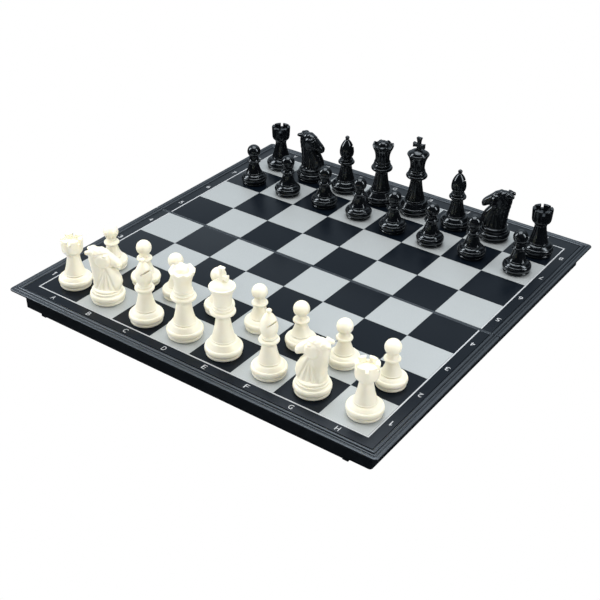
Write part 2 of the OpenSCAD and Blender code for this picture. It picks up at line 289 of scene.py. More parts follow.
def shut(work: bmesh.types.BMesh, name: str) -> bpy.types.Mesh:
    """Makes a mesh of a work mesh and frees it.

    Args:
        work: The work mesh.
        name: Name of the mesh.

    Returns:
        The mesh.
    """
    made = bpy.data.meshes.new(name)
    work.to_mesh(made)
    work.free()
    return made


def evaluated_mesh(holder: bpy.types.Object, name: str) -> bpy.types.Mesh:
    """The mesh of an object with its modifiers worked in.

    Args:
        holder: The object.
        name: Name of the mesh.

    Returns:
        A plain mesh.
    """
    bpy.context.view_layer.update()
    view = bpy.context.evaluated_depsgraph_get()
    made = bpy.data.meshes.new_from_object(holder.evaluated_get(view), depsgraph=view)
    made.name = name
    return made


def mesh_of(
    name: str, points: Iterable[Sequence[float]], faces: Iterable[Sequence[int]] = ()
) -> bpy.types.Mesh:
    """A mesh from points in millimetres and faces."""
    made = bpy.data.meshes.new(name)
    made.from_pydata([tuple(c * MM for c in point) for point in points], [], [tuple(face) for face in faces])
    return made


def tidy(mesh: bpy.types.Mesh, weld: float = WELD) -> bpy.types.Mesh:
    """Merges doubles, drops flat scraps and turns every face outwards.

    Args:
        mesh: The mesh, changed in place.
        weld: Distance below which points merge, in millimetres.

    Returns:
        The same mesh.
    """
    work = bmesh.new()
    work.from_mesh(mesh)
    bmesh.ops.remove_doubles(work, verts=work.verts, dist=weld * MM)
    bmesh.ops.dissolve_degenerate(work, edges=work.edges, dist=weld * MM / 2)
    bmesh.ops.recalc_face_normals(work, faces=work.faces)
    work.to_mesh(mesh)
    work.free()
    return mesh


def smooth(mesh: bpy.types.Mesh, angle: float = 34.0) -> bpy.types.Mesh:
    """Shades a mesh smooth except over edges sharper than an angle in degrees."""
    mesh.shade_smooth()
    mesh.set_sharp_from_angle(angle=math.radians(angle))
    return mesh


def modified(mesh: bpy.types.Mesh, *modifiers: tuple[str, dict]) -> bpy.types.Mesh:
    """Works modifiers, given as (type, settings), into a mesh.

    Args:
        mesh: The mesh to start from.
        modifiers: Pairs of a modifier type and its settings.

    Returns:
        A plain mesh.
    """
    holder = linked(mesh.name, mesh)
    for kind, settings in modifiers:
        modifier = holder.modifiers.new(kind, kind)
        for name, value in settings.items():
            setattr(modifier, name, value)
    made = evaluated_mesh(holder, mesh.name)
    bpy.data.objects.remove(holder)
    return made


def bevelled(mesh: bpy.types.Mesh, width: float, segments: int = 3, angle: float = 30.0) -> bpy.types.Mesh:
    """Rounds the edges of a mesh that are sharper than an angle, by a width in millimetres.

    Args:
        mesh: The mesh to start from.
        width: How far the rounding reaches, in millimetres.
        segments: Steps in the rounding.
        angle: Edges sharper than this many degrees are rounded.

    Returns:
        A plain mesh.
    """
    settings = {
        "width": width * MM,
        "segments": segments,
        "limit_method": "ANGLE",
        "angle_limit": math.radians(angle),
        "use_clamp_overlap": True,
        "harden_normals": False,
    }
    return modified(mesh, ("BEVEL", settings))


def carved(mesh: bpy.types.Mesh, tools: Sequence[bpy.types.Mesh], operation: str) -> bpy.types.Mesh:
    """Joins tools to a closed mesh, or cuts them out of it, one after the other.

    Args:
        mesh: The closed mesh.
        tools: The closed meshes to join or to cut out.
        operation: UNION or DIFFERENCE.

    Returns:
        A plain mesh.
    """
    holder = linked(mesh.name, mesh)
    helpers = []
    for tool in tools:
        helper = linked(tool.name, tool)
        helpers.append(helper)
        modifier = holder.modifiers.new("carve", "BOOLEAN")
        modifier.operation = operation
        modifier.solver = "MANIFOLD"
        modifier.object = helper
    made = evaluated_mesh(holder, mesh.name)
    for helper in (holder, *helpers):
        bpy.data.objects.remove(helper)
    return made


def box_mesh(
    name: str, low: Sequence[float], high: Sequence[float], round_off: float = 0.0
) -> bpy.types.Mesh:
    """A box between two corners in millimetres, with its edges rounded off.

    Args:
        name: Name of the mesh.
        low: Lower corner.
        high: Upper corner.
        round_off: Rounding of the edges, 0 for none.

    Returns:
        The box.
    """
    work = bmesh.new()
    bmesh.ops.create_cube(work, size=1.0)
    size = Vector(high) - Vector(low)
    middle = (Vector(high) + Vector(low)) / 2
    for vertex in work.verts:
        vertex.co = Vector(c * s + m for c, s, m in zip(vertex.co, size, middle)) * MM
    made = shut(work, name)
    return bevelled(made, round_off) if round_off else made


def prism(name: str, outline: Sequence[Sequence[float]], low: float, high: float) -> bpy.types.Mesh:
    """An outline in millimetres drawn in X and Z and drawn out along Y from low to high.

    Args:
        name: Name of the mesh.
        outline: Corners of the outline as (x, z).
        low: Where it starts in Y.
        high: Where it ends in Y.

    Returns:
        The closed solid.
    """
    count = len(outline)
    points = [(x, y, z) for y in (low, high) for x, z in outline]
    faces = [list(range(count)), [2 * count - 1 - i for i in range(count)]]
    faces += [[i, count + i, count + (i + 1) % count, (i + 1) % count] for i in range(count)]
    return tidy(mesh_of(name, points, faces))


def joined(name: str, meshes: Sequence[bpy.types.Mesh]) -> bpy.types.Mesh:
    """One mesh of several, each keeping its own faces.

    Args:
        name: Name of the mesh.
        meshes: The meshes.

    Returns:
        The one mesh.
    """
    work = bmesh.new()
    for mesh in meshes:
        work.from_mesh(mesh)
    return shut(work, name)


def placed(mesh: bpy.types.Mesh, matrix: Matrix, name: str) -> bpy.types.Mesh:
    """A copy of a mesh with its place worked into it.

    Args:
        mesh: The mesh to copy.
        matrix: The place.
        name: Name of the copy.

    Returns:
        The copy.
    """
    made = mesh.copy()
    made.name = name
    made.transform(matrix)
    if matrix.determinant() < 0:
        made.flip_normals()
    return made


def piece(
    name: str, mesh: bpy.types.Mesh, finish: bpy.types.Material, body: str, slot: str
) -> bpy.types.Object:
    """Puts a finished mesh on the set.

    Args:
        name: Name of the piece.
        mesh: Its mesh, in place.
        finish: Its material.
        body: The body that it rides on.
        slot: The material slot of the record that it stands for; not used.

    Returns:
        The object.
    """
    mesh.name = name
    mesh.materials.clear()
    mesh.materials.append(finish)
    mesh.polygons.foreach_set("material_index", np.zeros(len(mesh.polygons), np.int32))
    made = linked(name, mesh)
    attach(made, body)
    log.info("%-28s %6d faces on %s", name, len(mesh.polygons), body)
    return made


# ---------------------------------------------------------------------------------------------- shape rules


class TurningLathe:
    """Turns half sections about the vertical axis, with the rim waved where the section asks for it."""

    def __init__(self) -> None:
        """Builds the tree: a grid whose one way is the section and whose other way is the turn."""
        inputs = {"Section Points": "Int", "Facets": "Int", "Waves": "Float"}
        self.tree = tree = GeometryTree("turning_lathe", inputs)
        count, facets = tree.input("Section Points"), tree.input("Facets")
        sizes = {"Vertices X": count, "Vertices Y": facets + 1, "Size X": count - 1, "Size Y": facets}
        grid = tree.value("GeometryNodeMeshGrid", None, sizes)
        x, y, _ = tree.split(tree.value("GeometryNodeInputPosition"))
        index = (x + (count - 1) / 2).rounded()
        turn = (y + facets / 2) * (2 * math.pi) / facets
        radius, _, height = tree.split(self._look_up("FLOAT_VECTOR", "position", index))
        wave = self._look_up("FLOAT", "wave", index) * (turn * tree.input("Waves")).cosine()
        spot = tree.vector(radius * turn.cosine(), radius * turn.sine(), height + wave)
        turned = tree.value("GeometryNodeSetPosition", None, {"Geometry": grid, "Position": spot})
        weld = {"Geometry": turned, "Distance": WELD * MM}
        tree.close(tree.value("GeometryNodeMergeByDistance", None, weld))

    def _look_up(self, kind: str, attribute: str, index: Term) -> Term:
        """The value that the section holds at a point.

        Args:
            kind: Type of the value.
            attribute: Name of the attribute.
            index: Which point.

        Returns:
            The value.
        """
        tree = self.tree
        if attribute == "position":
            value = tree.value("GeometryNodeInputPosition")
        else:
            value = tree.value("GeometryNodeInputNamedAttribute", {"data_type": kind}, {"Name": attribute})
        inputs = {"Geometry": tree.input("Geometry"), "Value": value, "Index": index}
        return tree.value("GeometryNodeSampleIndex", {"data_type": kind, "domain": "POINT"}, inputs)

    def turn(
        self, name: str, section: "Section", finish: bpy.types.Material, facets: int = 96
    ) -> bpy.types.Mesh:
        """A closed turned mesh of a section.

        Args:
            name: Name of the mesh.
            section: The half section.
            finish: Its material.
            facets: Steps in the turn.

        Returns:
            A closed mesh.
        """
        line = mesh_of(name, [(r, 0.0, z) for r, z in section.points])
        waves = line.attributes.new("wave", "FLOAT", "POINT")
        waves.data.foreach_set("value", [w * MM for w in section.waves])
        values = {"Section_Points": len(section.points), "Facets": facets, "Waves": float(section.wave_count)}
        return tidy(self.tree.run(line, name, finish, **values))


@dataclass
class Section:
    """Half section of a turned piece, built point by point from the axis out and up, in millimetres."""

    points: list = field(default_factory=list)
    waves: list = field(default_factory=list)
    wave_count: int = 8

    def to(self, *points: tuple[float, float], wave: float = 0.0) -> "Section":
        """Straight on to the given (radius, height) points."""
        self.points += points
        self.waves += [wave] * len(points)
        return self

    def curve(self, by: tuple, end: tuple, steps: int = 12) -> "Section":
        """A quadratic curve by way of one point to another.

        Args:
            by: The point that pulls the curve.
            end: Where it ends.
            steps: Number of steps.

        Returns:
            The section itself.
        """
        start, by, end = Vector(self.points[-1]), Vector(by), Vector(end)
        for i in range(1, steps + 1):
            t = i / steps
            self.to(tuple((1 - t) ** 2 * start + 2 * t * (1 - t) * by + t * t * end))
        return self

    def bead(self, radius: float, height: float, tall: float, proud: float, steps: int = 12) -> "Section":
        """A half-round ring of a greatest radius, centred on a height.

        Args:
            radius: Greatest radius.
            height: Height of its middle.
            tall: Height from edge to edge.
            proud: How far it stands out.
            steps: Number of steps.

        Returns:
            The section itself.
        """
        for i in range(steps + 1):
            turn = math.pi * i / steps
            self.to((radius - proud * (1 - math.sin(turn)), height - tall / 2 * math.cos(turn)))
        return self


class RowPattern:
    """Sets one part out in rows and columns, every place or every second one."""

    def __init__(self) -> None:
        """Builds the tree: points on a grid, a test of each one's turn, and the part on those that pass."""
        inputs = {
            "Columns": "Int",
            "Rows": "Int",
            "Column Pitch": "Float",
            "Row Pitch": "Float",
            "Chequer": "Float",
            "Side Growth": "Float",
            "Front Growth": "Float",
            "Middle": "Vector",
        }
        self.tree = tree = GeometryTree("row_pattern", inputs)
        columns, rows = tree.input("Columns"), tree.input("Rows")
        column_pitch, row_pitch = tree.input("Column Pitch"), tree.input("Row Pitch")
        sizes = {
            "Vertices X": columns,
            "Vertices Y": rows,
            "Size X": (columns - 1) * column_pitch,
            "Size Y": (rows - 1) * row_pitch,
        }
        grid = tree.value("GeometryNodeMeshGrid", None, sizes)
        x, y, _ = tree.split(tree.value("GeometryNodeInputPosition"))
        column = (x / column_pitch + (columns - 1) / 2).rounded()
        row = (y / row_pitch + (rows - 1) / 2).rounded()
        # with a chequer of 0 every place is taken, and with 1 only those where column and row add up odd
        skipped = ((column + row + 1) % 2) * tree.input("Chequer")
        growth, front_growth = tree.input("Side Growth"), tree.input("Front Growth")
        first, last, front = column.equals(0), column.equals(columns - 1), row.equals(0)
        shift = tree.vector((last - first) * growth / 2, (0 - front) * front_growth / 2)
        moved = tree.value("GeometryNodeSetPosition", None, {"Geometry": grid, "Offset": shift})
        wider = (last + first) * growth / column_pitch + 1
        deeper = front * front_growth / row_pitch + 1
        less = {"data_type": "FLOAT", "operation": "LESS_THAN"}
        setting_out = {
            "Points": moved,
            "Selection": tree.value("FunctionNodeCompare", less, {0: skipped, 1: 0.5}),
            "Instance": tree.input("Geometry"),
            "Scale": tree.vector(wider, deeper, 1.0),
        }
        parts = tree.value("GeometryNodeInstanceOnPoints", None, setting_out)
        shifted = {"Geometry": parts, "Translation": tree.input("Middle")}
        tree.close(tree.value("GeometryNodeTransform", None, shifted))

    def lay(
        self,
        name: str,
        part: bpy.types.Mesh,
        finish: bpy.types.Material,
        counts: tuple[int, int],
        pitches: tuple[float, float],
        middle: Sequence[float],
        chequer: bool = False,
        growth: tuple[float, float] = (0.0, 0.0),
    ) -> bpy.types.Mesh:
        """Sets a part out.

        Args:
            name: Name of the mesh.
            part: The part, drawn round the origin.
            finish: Its material.
            counts: Columns and rows.
            pitches: Column and row pitch in millimetres.
            middle: Middle of the pattern in millimetres.
            chequer: True to take every second place only.
            growth: How far the parts at the sides and in the front row reach further out, in millimetres.

        Returns:
            The mesh of all the parts.
        """
        return self.tree.run(
            part,
            name,
            finish,
            Columns=counts[0],
            Rows=counts[1],
            Column_Pitch=pitches[0] * MM,
            Row_Pitch=pitches[1] * MM,
            Chequer=float(chequer),
            Side_Growth=growth[0] * MM,
            Front_Growth=growth[1] * MM,
            Middle=[c * MM for c in middle],
        )


# ---------------------------------------------------------------------------------------------- finishes


class ShaderBench(NodeBench):
    """The node tree of one finish, with the surface patterns that the finishes share."""

    def __init__(self, name: str) -> None:
        """Starts a material.

        Args:
            name: Name of the finish.
        """
        self.material = bpy.data.materials.new(name)
        self.material.use_nodes = True
        super().__init__(self.material.node_tree)
        self.place = self.value("ShaderNodeTexCoord", output="Object")

    def cloud(self, size: float, detail: float = 3.0, stretch: Sequence[float] = (1, 1, 1)) -> Term:
        """Soft noise from nought to one, with blotches of a size in millimetres."""
        where = self.value("ShaderNodeMapping", None, {"Vector": self.place, "Scale": tuple(stretch)})
        inputs = {"Vector": where, "Scale": 1 / (size * MM), "Detail": detail}
        return self.value("ShaderNodeTexNoise", None, inputs)

    def blend(self, share: Any, first: Any, second: Any) -> Term:
        """A colour between two, each a term or three numbers."""
        first, second = ((*c, 1.0) if isinstance(c, tuple) else c for c in (first, second))
        return self.value("ShaderNodeMix", {"data_type": "RGBA"}, {0: share, 6: first, 7: second}, 2)

    def relief(self, height: Term, depth: float, strength: float = 1.0) -> Term:
        """A normal bumped by a height from nought to one that stands for a depth in millimetres."""
        inputs = {"Height": height, "Distance": depth * MM, "Strength": strength}
        return self.value("ShaderNodeBump", None, inputs)

    def close(self, sockets: dict[str, Any]) -> bpy.types.Material:
        """Ends the tree in one shader with the given sockets."""
        shader = self.value("ShaderNodeBsdfPrincipled", None, sockets)
        self.node("ShaderNodeOutputMaterial", None, {"Surface": shader})
        return self.material


@dataclass(frozen=True)
class MouldedPlastic:
    """Injection moulded plastic: a faint flow mottle in its colour, a fine mould grain and handling marks."""

    name: str
    colour: tuple
    mottle: tuple
    roughness: float
    wear: float = 0.06
    grain_size: float = 0.35
    grain_depth: float = 0.004
    specular: float = 0.5
    depth_of_light: float = 0.0
    gloss_tint: tuple = (0.84, 0.93, 1.0, 1.0)

    def make(self) -> bpy.types.Material:
        """Builds the material.

        Returns:
            The material.
        """
        bench = ShaderBench(self.name)
        flow = bench.cloud(9.0, 4.0).ease(0.35, 0.7)
        handling = bench.cloud(5.0, 2.5).ease(0.42, 0.75)
        sockets = {
            "Base Color": bench.blend(flow, self.colour, self.mottle),
            "Roughness": handling * self.wear + self.roughness,
            "Normal": bench.relief(bench.cloud(self.grain_size, 2.0), self.grain_depth),
            "Specular IOR Level": self.specular,
            "Specular Tint": self.gloss_tint,
        }
        if self.depth_of_light:
            sockets |= {
                "Subsurface Weight": self.depth_of_light,
                "Subsurface Radius": (1.0, 0.85, 0.55),
                "Subsurface Scale": 3.0 * MM,
            }
        return bench.close(sockets)


@dataclass(frozen=True)
class PrintedSheet:
    """Blue-black printed sheet of the playing panels, with a satin lacquer and hairline scuffs."""

    name: str = "printed_panel"
    ink: tuple = (0.0017, 0.0034, 0.0064)
    faded: tuple = (0.0026, 0.0047, 0.0082)
    roughness: float = 0.27

    def make(self) -> bpy.types.Material:
        """Builds the material.

        Returns:
            The material.
        """
        bench = ShaderBench(self.name)
        along, across = bench.cloud(2.2, 6.0, (1, 9, 1)), bench.cloud(2.6, 6.0, (8, 1, 1))
        scuffs = along.ease(0.6, 0.8) + across.ease(0.6, 0.8)
        fade = bench.cloud(38.0, 3.0)
        return bench.close(
            {
                "Base Color": bench.blend(fade, self.ink, self.faded),
                "Roughness": scuffs * 0.05 + fade * 0.05 + self.roughness,
                "Normal": bench.relief(bench.cloud(0.5, 2.0), 0.003),
                "Specular IOR Level": 0.18,
                "Specular Tint": (0.80, 0.90, 1.0, 1.0),
            }
        )


@dataclass(frozen=True)
class SilverPrint:
    """Silver ink with fine flakes in it."""

    name: str
    silver: tuple = (0.405, 0.43, 0.435)
    flake: tuple = (0.53, 0.555, 0.555)
    metal: float = 0.35
    roughness: float = 0.42

    def make(self) -> bpy.types.Material:
        """Builds the material.

        Returns:
            The material.
        """
        bench = ShaderBench(self.name)
        flakes = bench.cloud(0.55, 3.0).ease(0.38, 0.66)
        drift = bench.cloud(26.0, 3.0)
        silver = bench.blend(flakes * 0.8, self.silver, self.flake)
        worn = tuple(c * 0.93 for c in self.silver)
        return bench.close(
            {
                "Base Color": bench.blend(drift * 0.5, silver, worn),
                "Metallic": flakes * 0.2 + self.metal,
                "Roughness": drift * 0.08 + self.roughness,
                "Normal": bench.relief(flakes, 0.004, 0.6),
            }
        )


@dataclass(frozen=True)
class BrushedMetal:
    """Steel rolled or drawn along one axis, with its lines and a few dull spots."""

    name: str
    colour: tuple
    along: tuple
    roughness: float = 0.3

    def make(self) -> bpy.types.Material:
        """Builds the material.

        Returns:
            The material.
        """
        bench = ShaderBench(self.name)
        lines = bench.cloud(0.4, 4.0, self.along)
        dull = bench.cloud(6.0, 3.0).ease(0.5, 0.8)
        darker = tuple(c * 0.72 for c in self.colour)
        return bench.close(
            {
                "Base Color": bench.blend(lines, darker, self.colour),
                "Metallic": 1.0,
                "Roughness": lines * 0.12 + dull * 0.12 + self.roughness,
                "Normal": bench.relief(lines, 0.004),
            }
        )


@dataclass(frozen=True)
class PressedFelt:
    """Black pressed felt with a short nap and stray lighter hairs."""

    name: str = "black_felt"
    dye: tuple = (0.012, 0.012, 0.013)
    hair: tuple = (0.06, 0.06, 0.062)

    def make(self) -> bpy.types.Material:
        """Builds the material.

        Returns:
            The material.
        """
        bench = ShaderBench(self.name)
        nap = bench.cloud(0.25, 4.0)
        hairs = bench.cloud(0.5, 3.0, (1, 7, 2)).ease(0.6, 0.72)
        return bench.close(
            {
                "Base Color": bench.blend(hairs, self.dye, self.hair),
                "Roughness": nap * 0.1 + 0.88,
                "Normal": bench.relief(nap, 0.12),
                "Sheen Weight": 0.4,
            }
        )


@dataclass
class Finishes:
    """Every material of the set, made once."""

    tray: bpy.types.Material = field(
        default_factory=MouldedPlastic(
            name="black_tray",
            colour=(0.0020, 0.0030, 0.0050),
            mottle=(0.0030, 0.0044, 0.0070),
            roughness=0.40,
            wear=0.04,
            grain_size=2.4,
            grain_depth=0.0012,
            specular=1.0,
            gloss_tint=(0.78, 0.89, 1.0, 1.0),
        ).make
    )
    panel: bpy.types.Material = field(default_factory=PrintedSheet().make)
    foil: bpy.types.Material = field(default_factory=SilverPrint("silver_squares").make)
    line: bpy.types.Material = field(
        default_factory=SilverPrint(
            "bright_print", (0.47, 0.485, 0.50), (0.57, 0.585, 0.60), metal=0.1, roughness=0.5
        ).make
    )
    sheet: bpy.types.Material = field(
        default_factory=BrushedMetal("rolled_sheet", (0.5, 0.51, 0.53), (1, 30, 30)).make
    )
    pin: bpy.types.Material = field(
        default_factory=BrushedMetal("drawn_pin", (0.6, 0.61, 0.63), (1, 25, 25), 0.2).make
    )
    plating: bpy.types.Material = field(
        default_factory=BrushedMetal("nickel_plating", (0.72, 0.7, 0.66), (4, 4, 4), 0.18).make
    )
    felt: bpy.types.Material = field(default_factory=PressedFelt().make)
    ivory: bpy.types.Material = field(
        default_factory=MouldedPlastic(
            name="ivory_plastic",
            colour=(0.915, 0.875, 0.73),
            mottle=(0.895, 0.845, 0.685),
            roughness=0.36,
            wear=0.08,
            grain_size=0.9,
            grain_depth=0.003,
            specular=0.42,
            depth_of_light=0.3,
        ).make
    )
    jet: bpy.types.Material = field(
        default_factory=MouldedPlastic(
            name="jet_plastic",
            colour=(0.0018, 0.0022, 0.0030),
            mottle=(0.0026, 0.0032, 0.0042),
            roughness=0.15,
            wear=0.03,
            grain_size=3.0,
            grain_depth=0.0004,
            specular=0.6,
        ).make
    )

    def man(self, side: Side) -> bpy.types.Material:
        """The plastic of one side's men."""
        return self.ivory if side is Side.WHITE else self.jet


# ---------------------------------------------------------------------------------------------- the board


@dataclass
class Board:
    """Sizes that both half boards and the men share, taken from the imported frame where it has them."""

    square: float = 0.0
    surface: float = 0.0
    axis: float = 0.0
    seam_strip: float = 1.45
    seam_gap: float = 0.3
    foil: float = 0.05

    def __post_init__(self) -> None:
        """Reads the square, the playing surface and the hinge axis from the frame."""
        low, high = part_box("near_steel_sheet")
        self.square = (high.x - low.x) / MM / 8
        self.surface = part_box("near_panel")[1].z / MM
        low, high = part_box("left_hinge_pin")
        self.axis = (low.z + high.z) / 2 / MM

    @property
    def field(self) -> float:
        """Half the width of the eight files."""
        return 4 * self.square

    @property
    def front(self) -> float:
        """Distance from the seam's middle to the outer edge of a half's squares."""
        return self.seam_strip + self.field

    def side(self, half: Half, mesh: bpy.types.Mesh) -> bpy.types.Mesh:
        """A mesh drawn on the near half, on the half that it is for."""
        if half is Half.NEAR:
            return mesh
        return placed(mesh, Matrix.Scale(-1, 4, (0, 1, 0)), mesh.name)


@dataclass
class RimSweep:
    """A closed section, of (distance outside the squares, height, corner radius), run round three sides."""

    board: Board
    section: list
    corner_steps: int = 10
    seam_round: float = 1.6
    end_round: float = 0.25

    def mesh(self, name: str) -> bpy.types.Mesh:
        """The swept moulding, with rounded ends at the seam.

        Args:
            name: Name of the mesh.

        Returns:
            The closed moulding.
        """
        inset = self._inset(self.end_round)
        paths = [self._path(e, r) for e, _, r in self.section]
        steps = len(paths[0])
        count = len(self.section)
        points = []
        for step in range(steps):
            points += [(*paths[i][step], self.section[i][1]) for i in range(count)]
        # one more, drawn-in ring outside each end rounds it off
        for sign in (-1, 1):
            for i, (e, z, _) in enumerate(inset):
                y = paths[i][0][1] + self.end_round
                points.append((sign * (self.board.field + e), min(y, -self.board.seam_gap / 2), z))
        order = [steps, *range(steps), steps + 1]
        faces = []
        for a, b in zip(order, order[1:]):
            for i in range(count):
                j = (i + 1) % count
                faces.append([a * count + i, a * count + j, b * count + j, b * count + i])
        faces.append([order[0] * count + i for i in range(count)])
        faces.append([order[-1] * count + i for i in reversed(range(count))])
        made = tidy(mesh_of(name, points, faces), 0.0005)
        work = bmesh.new()
        work.from_mesh(made)
        bmesh.ops.triangulate(work, faces=[f for f in work.faces if len(f.verts) > 4])
        work.to_mesh(made)
        work.free()
        return made

    def _path(self, e: float, r: float) -> list:
        """Places of one section point along the three sides, in plan.

        Args:
            e: Distance outside the squares.
            r: Corner radius in plan.

        Returns:
            The places as (x, y).
        """
        x, y = self.board.field + e, -(self.board.front + e)
        outermost = max(p[0] for p in self.section)
        over = max(0.0, e - (outermost - self.seam_round))
        cut = self.seam_round - math.sqrt(max(0.0, self.seam_round**2 - over**2))
        seam = -self.board.seam_gap / 2 - cut - self.end_round
        left = [(-x, seam)]
        turns = [math.radians(180 + 90 * i / self.corner_steps) for i in range(self.corner_steps + 1)]
        left += [(-x + r + r * math.cos(t), y + r + r * math.sin(t)) for t in turns]
        return left + [(-px, py) for px, py in reversed(left)]

    def _inset(self, depth: float) -> list:
        """The section drawn in by a depth along its own normals.

        Args:
            depth: How far, in millimetres.

        Returns:
            The new section.
        """
        count = len(self.section)
        flat = [Vector(p[:2]) for p in self.section]
        area = sum(a.x * b.y - b.x * a.y for a, b in zip(flat, (*flat[1:], flat[0])))
        sign = 1 if area > 0 else -1
        made = []
        for i in range(count):
            along = (flat[(i + 1) % count] - flat[i]).normalized() + (flat[i] - flat[i - 1]).normalized()
            along = along.normalized() if along.length > 1e-6 else Vector((1, 0))
            inward = Vector((-along.y, along.x)) * sign * depth
            made.append((flat[i].x + inward.x, flat[i].y + inward.y, self.section[i][2]))
        return made


def arc(centre: tuple, radii: tuple, start: float, end: float, steps: int, corner: float) -> list:
    """Points on an arc for a rim section, each with its corner radius.

    Args:
        centre: Middle of the arc.
        radii: Its reach across and up.
        start: Angle of the first point in degrees.
        end: Angle of the last point in degrees.
        steps: Number of steps between them.
        corner: Radius in plan where the rim turns a corner.

    Returns:
        The points as (distance, height, corner radius).
    """
    turns = [math.radians(start + (end - start) * i / steps) for i in range(steps + 1)]
    return [
        (centre[0] + radii[0] * math.cos(t), centre[1] + radii[1] * math.sin(t), corner) for t in turns
    ]


@dataclass
class Tray:
    """One black tray: stepped border moulding, flange, walls, floor web with ribs, bosses and knuckles."""

    board: Board
    half: Half
    finishes: Finishes
    rows: RowPattern
    wall_e: float = 11.4
    wall_t: float = 2.2
    web_low: float = 17.6
    web_high: float = 19.0
    ledge: float = 19.4
    ledge_e: float = 11.15
    rim: float = 1.7
    hinge_x: float = 120.0
    barrel_r: float = 1.6
    bore_r: float = 0.8
    knuckle_l: float = 12.0
    knuckle_pitch: float = 12.3
    rib_t: float = 1.2
    rib_d: float = 1.6
    boss_r: float = 4.0
    boss_in: float = 2.4
    boss_tall: float = 17.0
    bore_l: float = 40.0
    path_l: float = 38.0
    join: float = 0.3
    play: float = 0.3
    foot_r: float = 2.0
    foot_tall: float = 2.2
    socket_tall: float = 3.4
    tongue_l: float = 300.0
    tongue_t: float = 1.1
    nub_w: float = 4.8

    def rim_section(self) -> list:
        """Section of the moulding, the flange and the wall under it.

        Returns:
            The points as (distance, height, corner radius).
        """
        wall, top = self.wall_e, self.board.surface
        inner = wall - self.wall_t
        # corner radii in plan: of the recess, inside the wall, of the wall and of the moulding
        recess, inside, outside, edge = 0.2, 1.6, 2.6, 3.2
        return [
            (inner, self.web_low, inside),
            (inner - 0.6, self.web_low + 0.2, inside),
            (inner - 0.6, self.ledge - 0.1, inside),
            (self.ledge_e - 0.2, self.ledge, recess),
            (self.ledge_e, self.ledge, recess),
            (self.ledge_e, top - 0.5, recess),
            *arc((self.ledge_e + 0.24, top - 0.42), (0.22, 0.16), 180, 300, 3, recess),
            *arc((12.98, top - 0.72), (1.44, 1.3), 156, 8, 12, recess),
            *arc((14.62, top - 0.42), (0.18, 0.16), 200, 340, 3, 0.25),
            *arc((15.72, top - 0.5), (0.96, 0.85), 160, 18, 9, 0.6),
            *arc((16.78, top - 0.22), (0.16, 0.12), 205, 330, 3, 1.2),
            *arc((17.5, top - 0.35), (0.58, 0.32), 150, 88, 4, 2.2),
            (18.4, top - 0.08, 2.9),
            *arc((18.62, top - 1.06), (0.98, 0.94), 84, 0, 8, edge),
            *arc((18.9, top - 1.36), (0.66, 0.5), -8, -84, 5, edge),
            (13.7, top - 1.92, outside),
            *arc((13.5, 17.35), (1.62, 1.5), 96, 180, 7, outside),
            (wall - 0.05, 12.0, outside),
            (wall - 0.22, self.rim + 0.45, outside),
            *arc((wall - 0.67, self.rim + 0.4), (0.45, 0.4), 0, -90, 4, 2.3),
            *arc((inner + 0.4, self.rim + 0.4), (0.4, 0.4), -90, -180, 4, 2.2),
        ]

    def _rods(
        self, radius: float, length: float, middles: Iterable[tuple], along: str = "X"
    ) -> list[bpy.types.Mesh]:
        """Round bars of one size along an axis, for joining or cutting.

        Args:
            radius: Their radius.
            length: Their length.
            middles: The middle of each.
            along: X or Z.

        Returns:
            The bars.
        """
        size = {"radius1": radius * MM, "radius2": radius * MM, "depth": length * MM}
        turn = Matrix.Rotation(math.pi / 2, 4, "Y") if along == "X" else Matrix.Identity(4)
        made = []
        for middle in middles:
            work = bmesh.new()
            bmesh.ops.create_cone(work, cap_ends=True, segments=40, **size)
            place = Matrix.Translation(Vector(middle) * MM) @ turn
            bmesh.ops.transform(work, matrix=place, verts=work.verts)
            made.append(shut(work, "rod"))
        return made

    def _knuckles(self, half: Half) -> list[tuple]:
        """Middles of a half's knuckles along the hinge.

        Args:
            half: The half board.

        Returns:
            The points.
        """
        steps = (-1, 1) if half is Half.NEAR else (0,)
        places = [s * self.hinge_x + k * self.knuckle_pitch for s in (-1, 1) for k in steps]
        return [(x, 0, self.board.axis) for x in places]

    def _bosses(self, z: float) -> list[tuple]:
        """The two bosses' places by the front corners, at a height."""
        out = self.wall_e - self.wall_t - self.boss_in
        return [(s * (self.board.field + out), -(self.board.front + out), z) for s in (-1, 1)]

    def _ribs(self) -> list[bpy.types.Mesh]:
        """The two sets of ribs under the web.

        Returns:
            The ribs along Y and the ribs along X.
        """
        board = self.board
        deep = board.front + self.wall_e - 2
        wide = 2 * (board.field + self.wall_e - 1)
        low, high = self.web_low - self.rib_d, self.web_low + 0.5
        down = box_mesh("rib", (-self.rib_t / 2, -deep / 2, low), (self.rib_t / 2, deep / 2, high), 0.25)
        across = box_mesh("rib", (-wide / 2, -self.rib_t / 2, low), (wide / 2, self.rib_t / 2, high), 0.25)
        black = self.finishes.tray
        middle = -board.seam_strip - 2 * board.square
        return [
            self.rows.lay("down_ribs", down, black, (7, 1), (board.square, 1.0), (0, -1 - deep / 2, 0)),
            self.rows.lay("cross_ribs", across, black, (1, 3), (1.0, board.square), (0, middle, 0)),
        ]

    def _rim_run(self, length: float, thick: float, low: float, high: float, middle: float) -> bpy.types.Mesh:
        """A block along the outer face of the front wall."""
        face = -(self.board.front + self.wall_e)
        return box_mesh("run", (middle - length / 2, face, low), (middle + length / 2, face + thick, high))

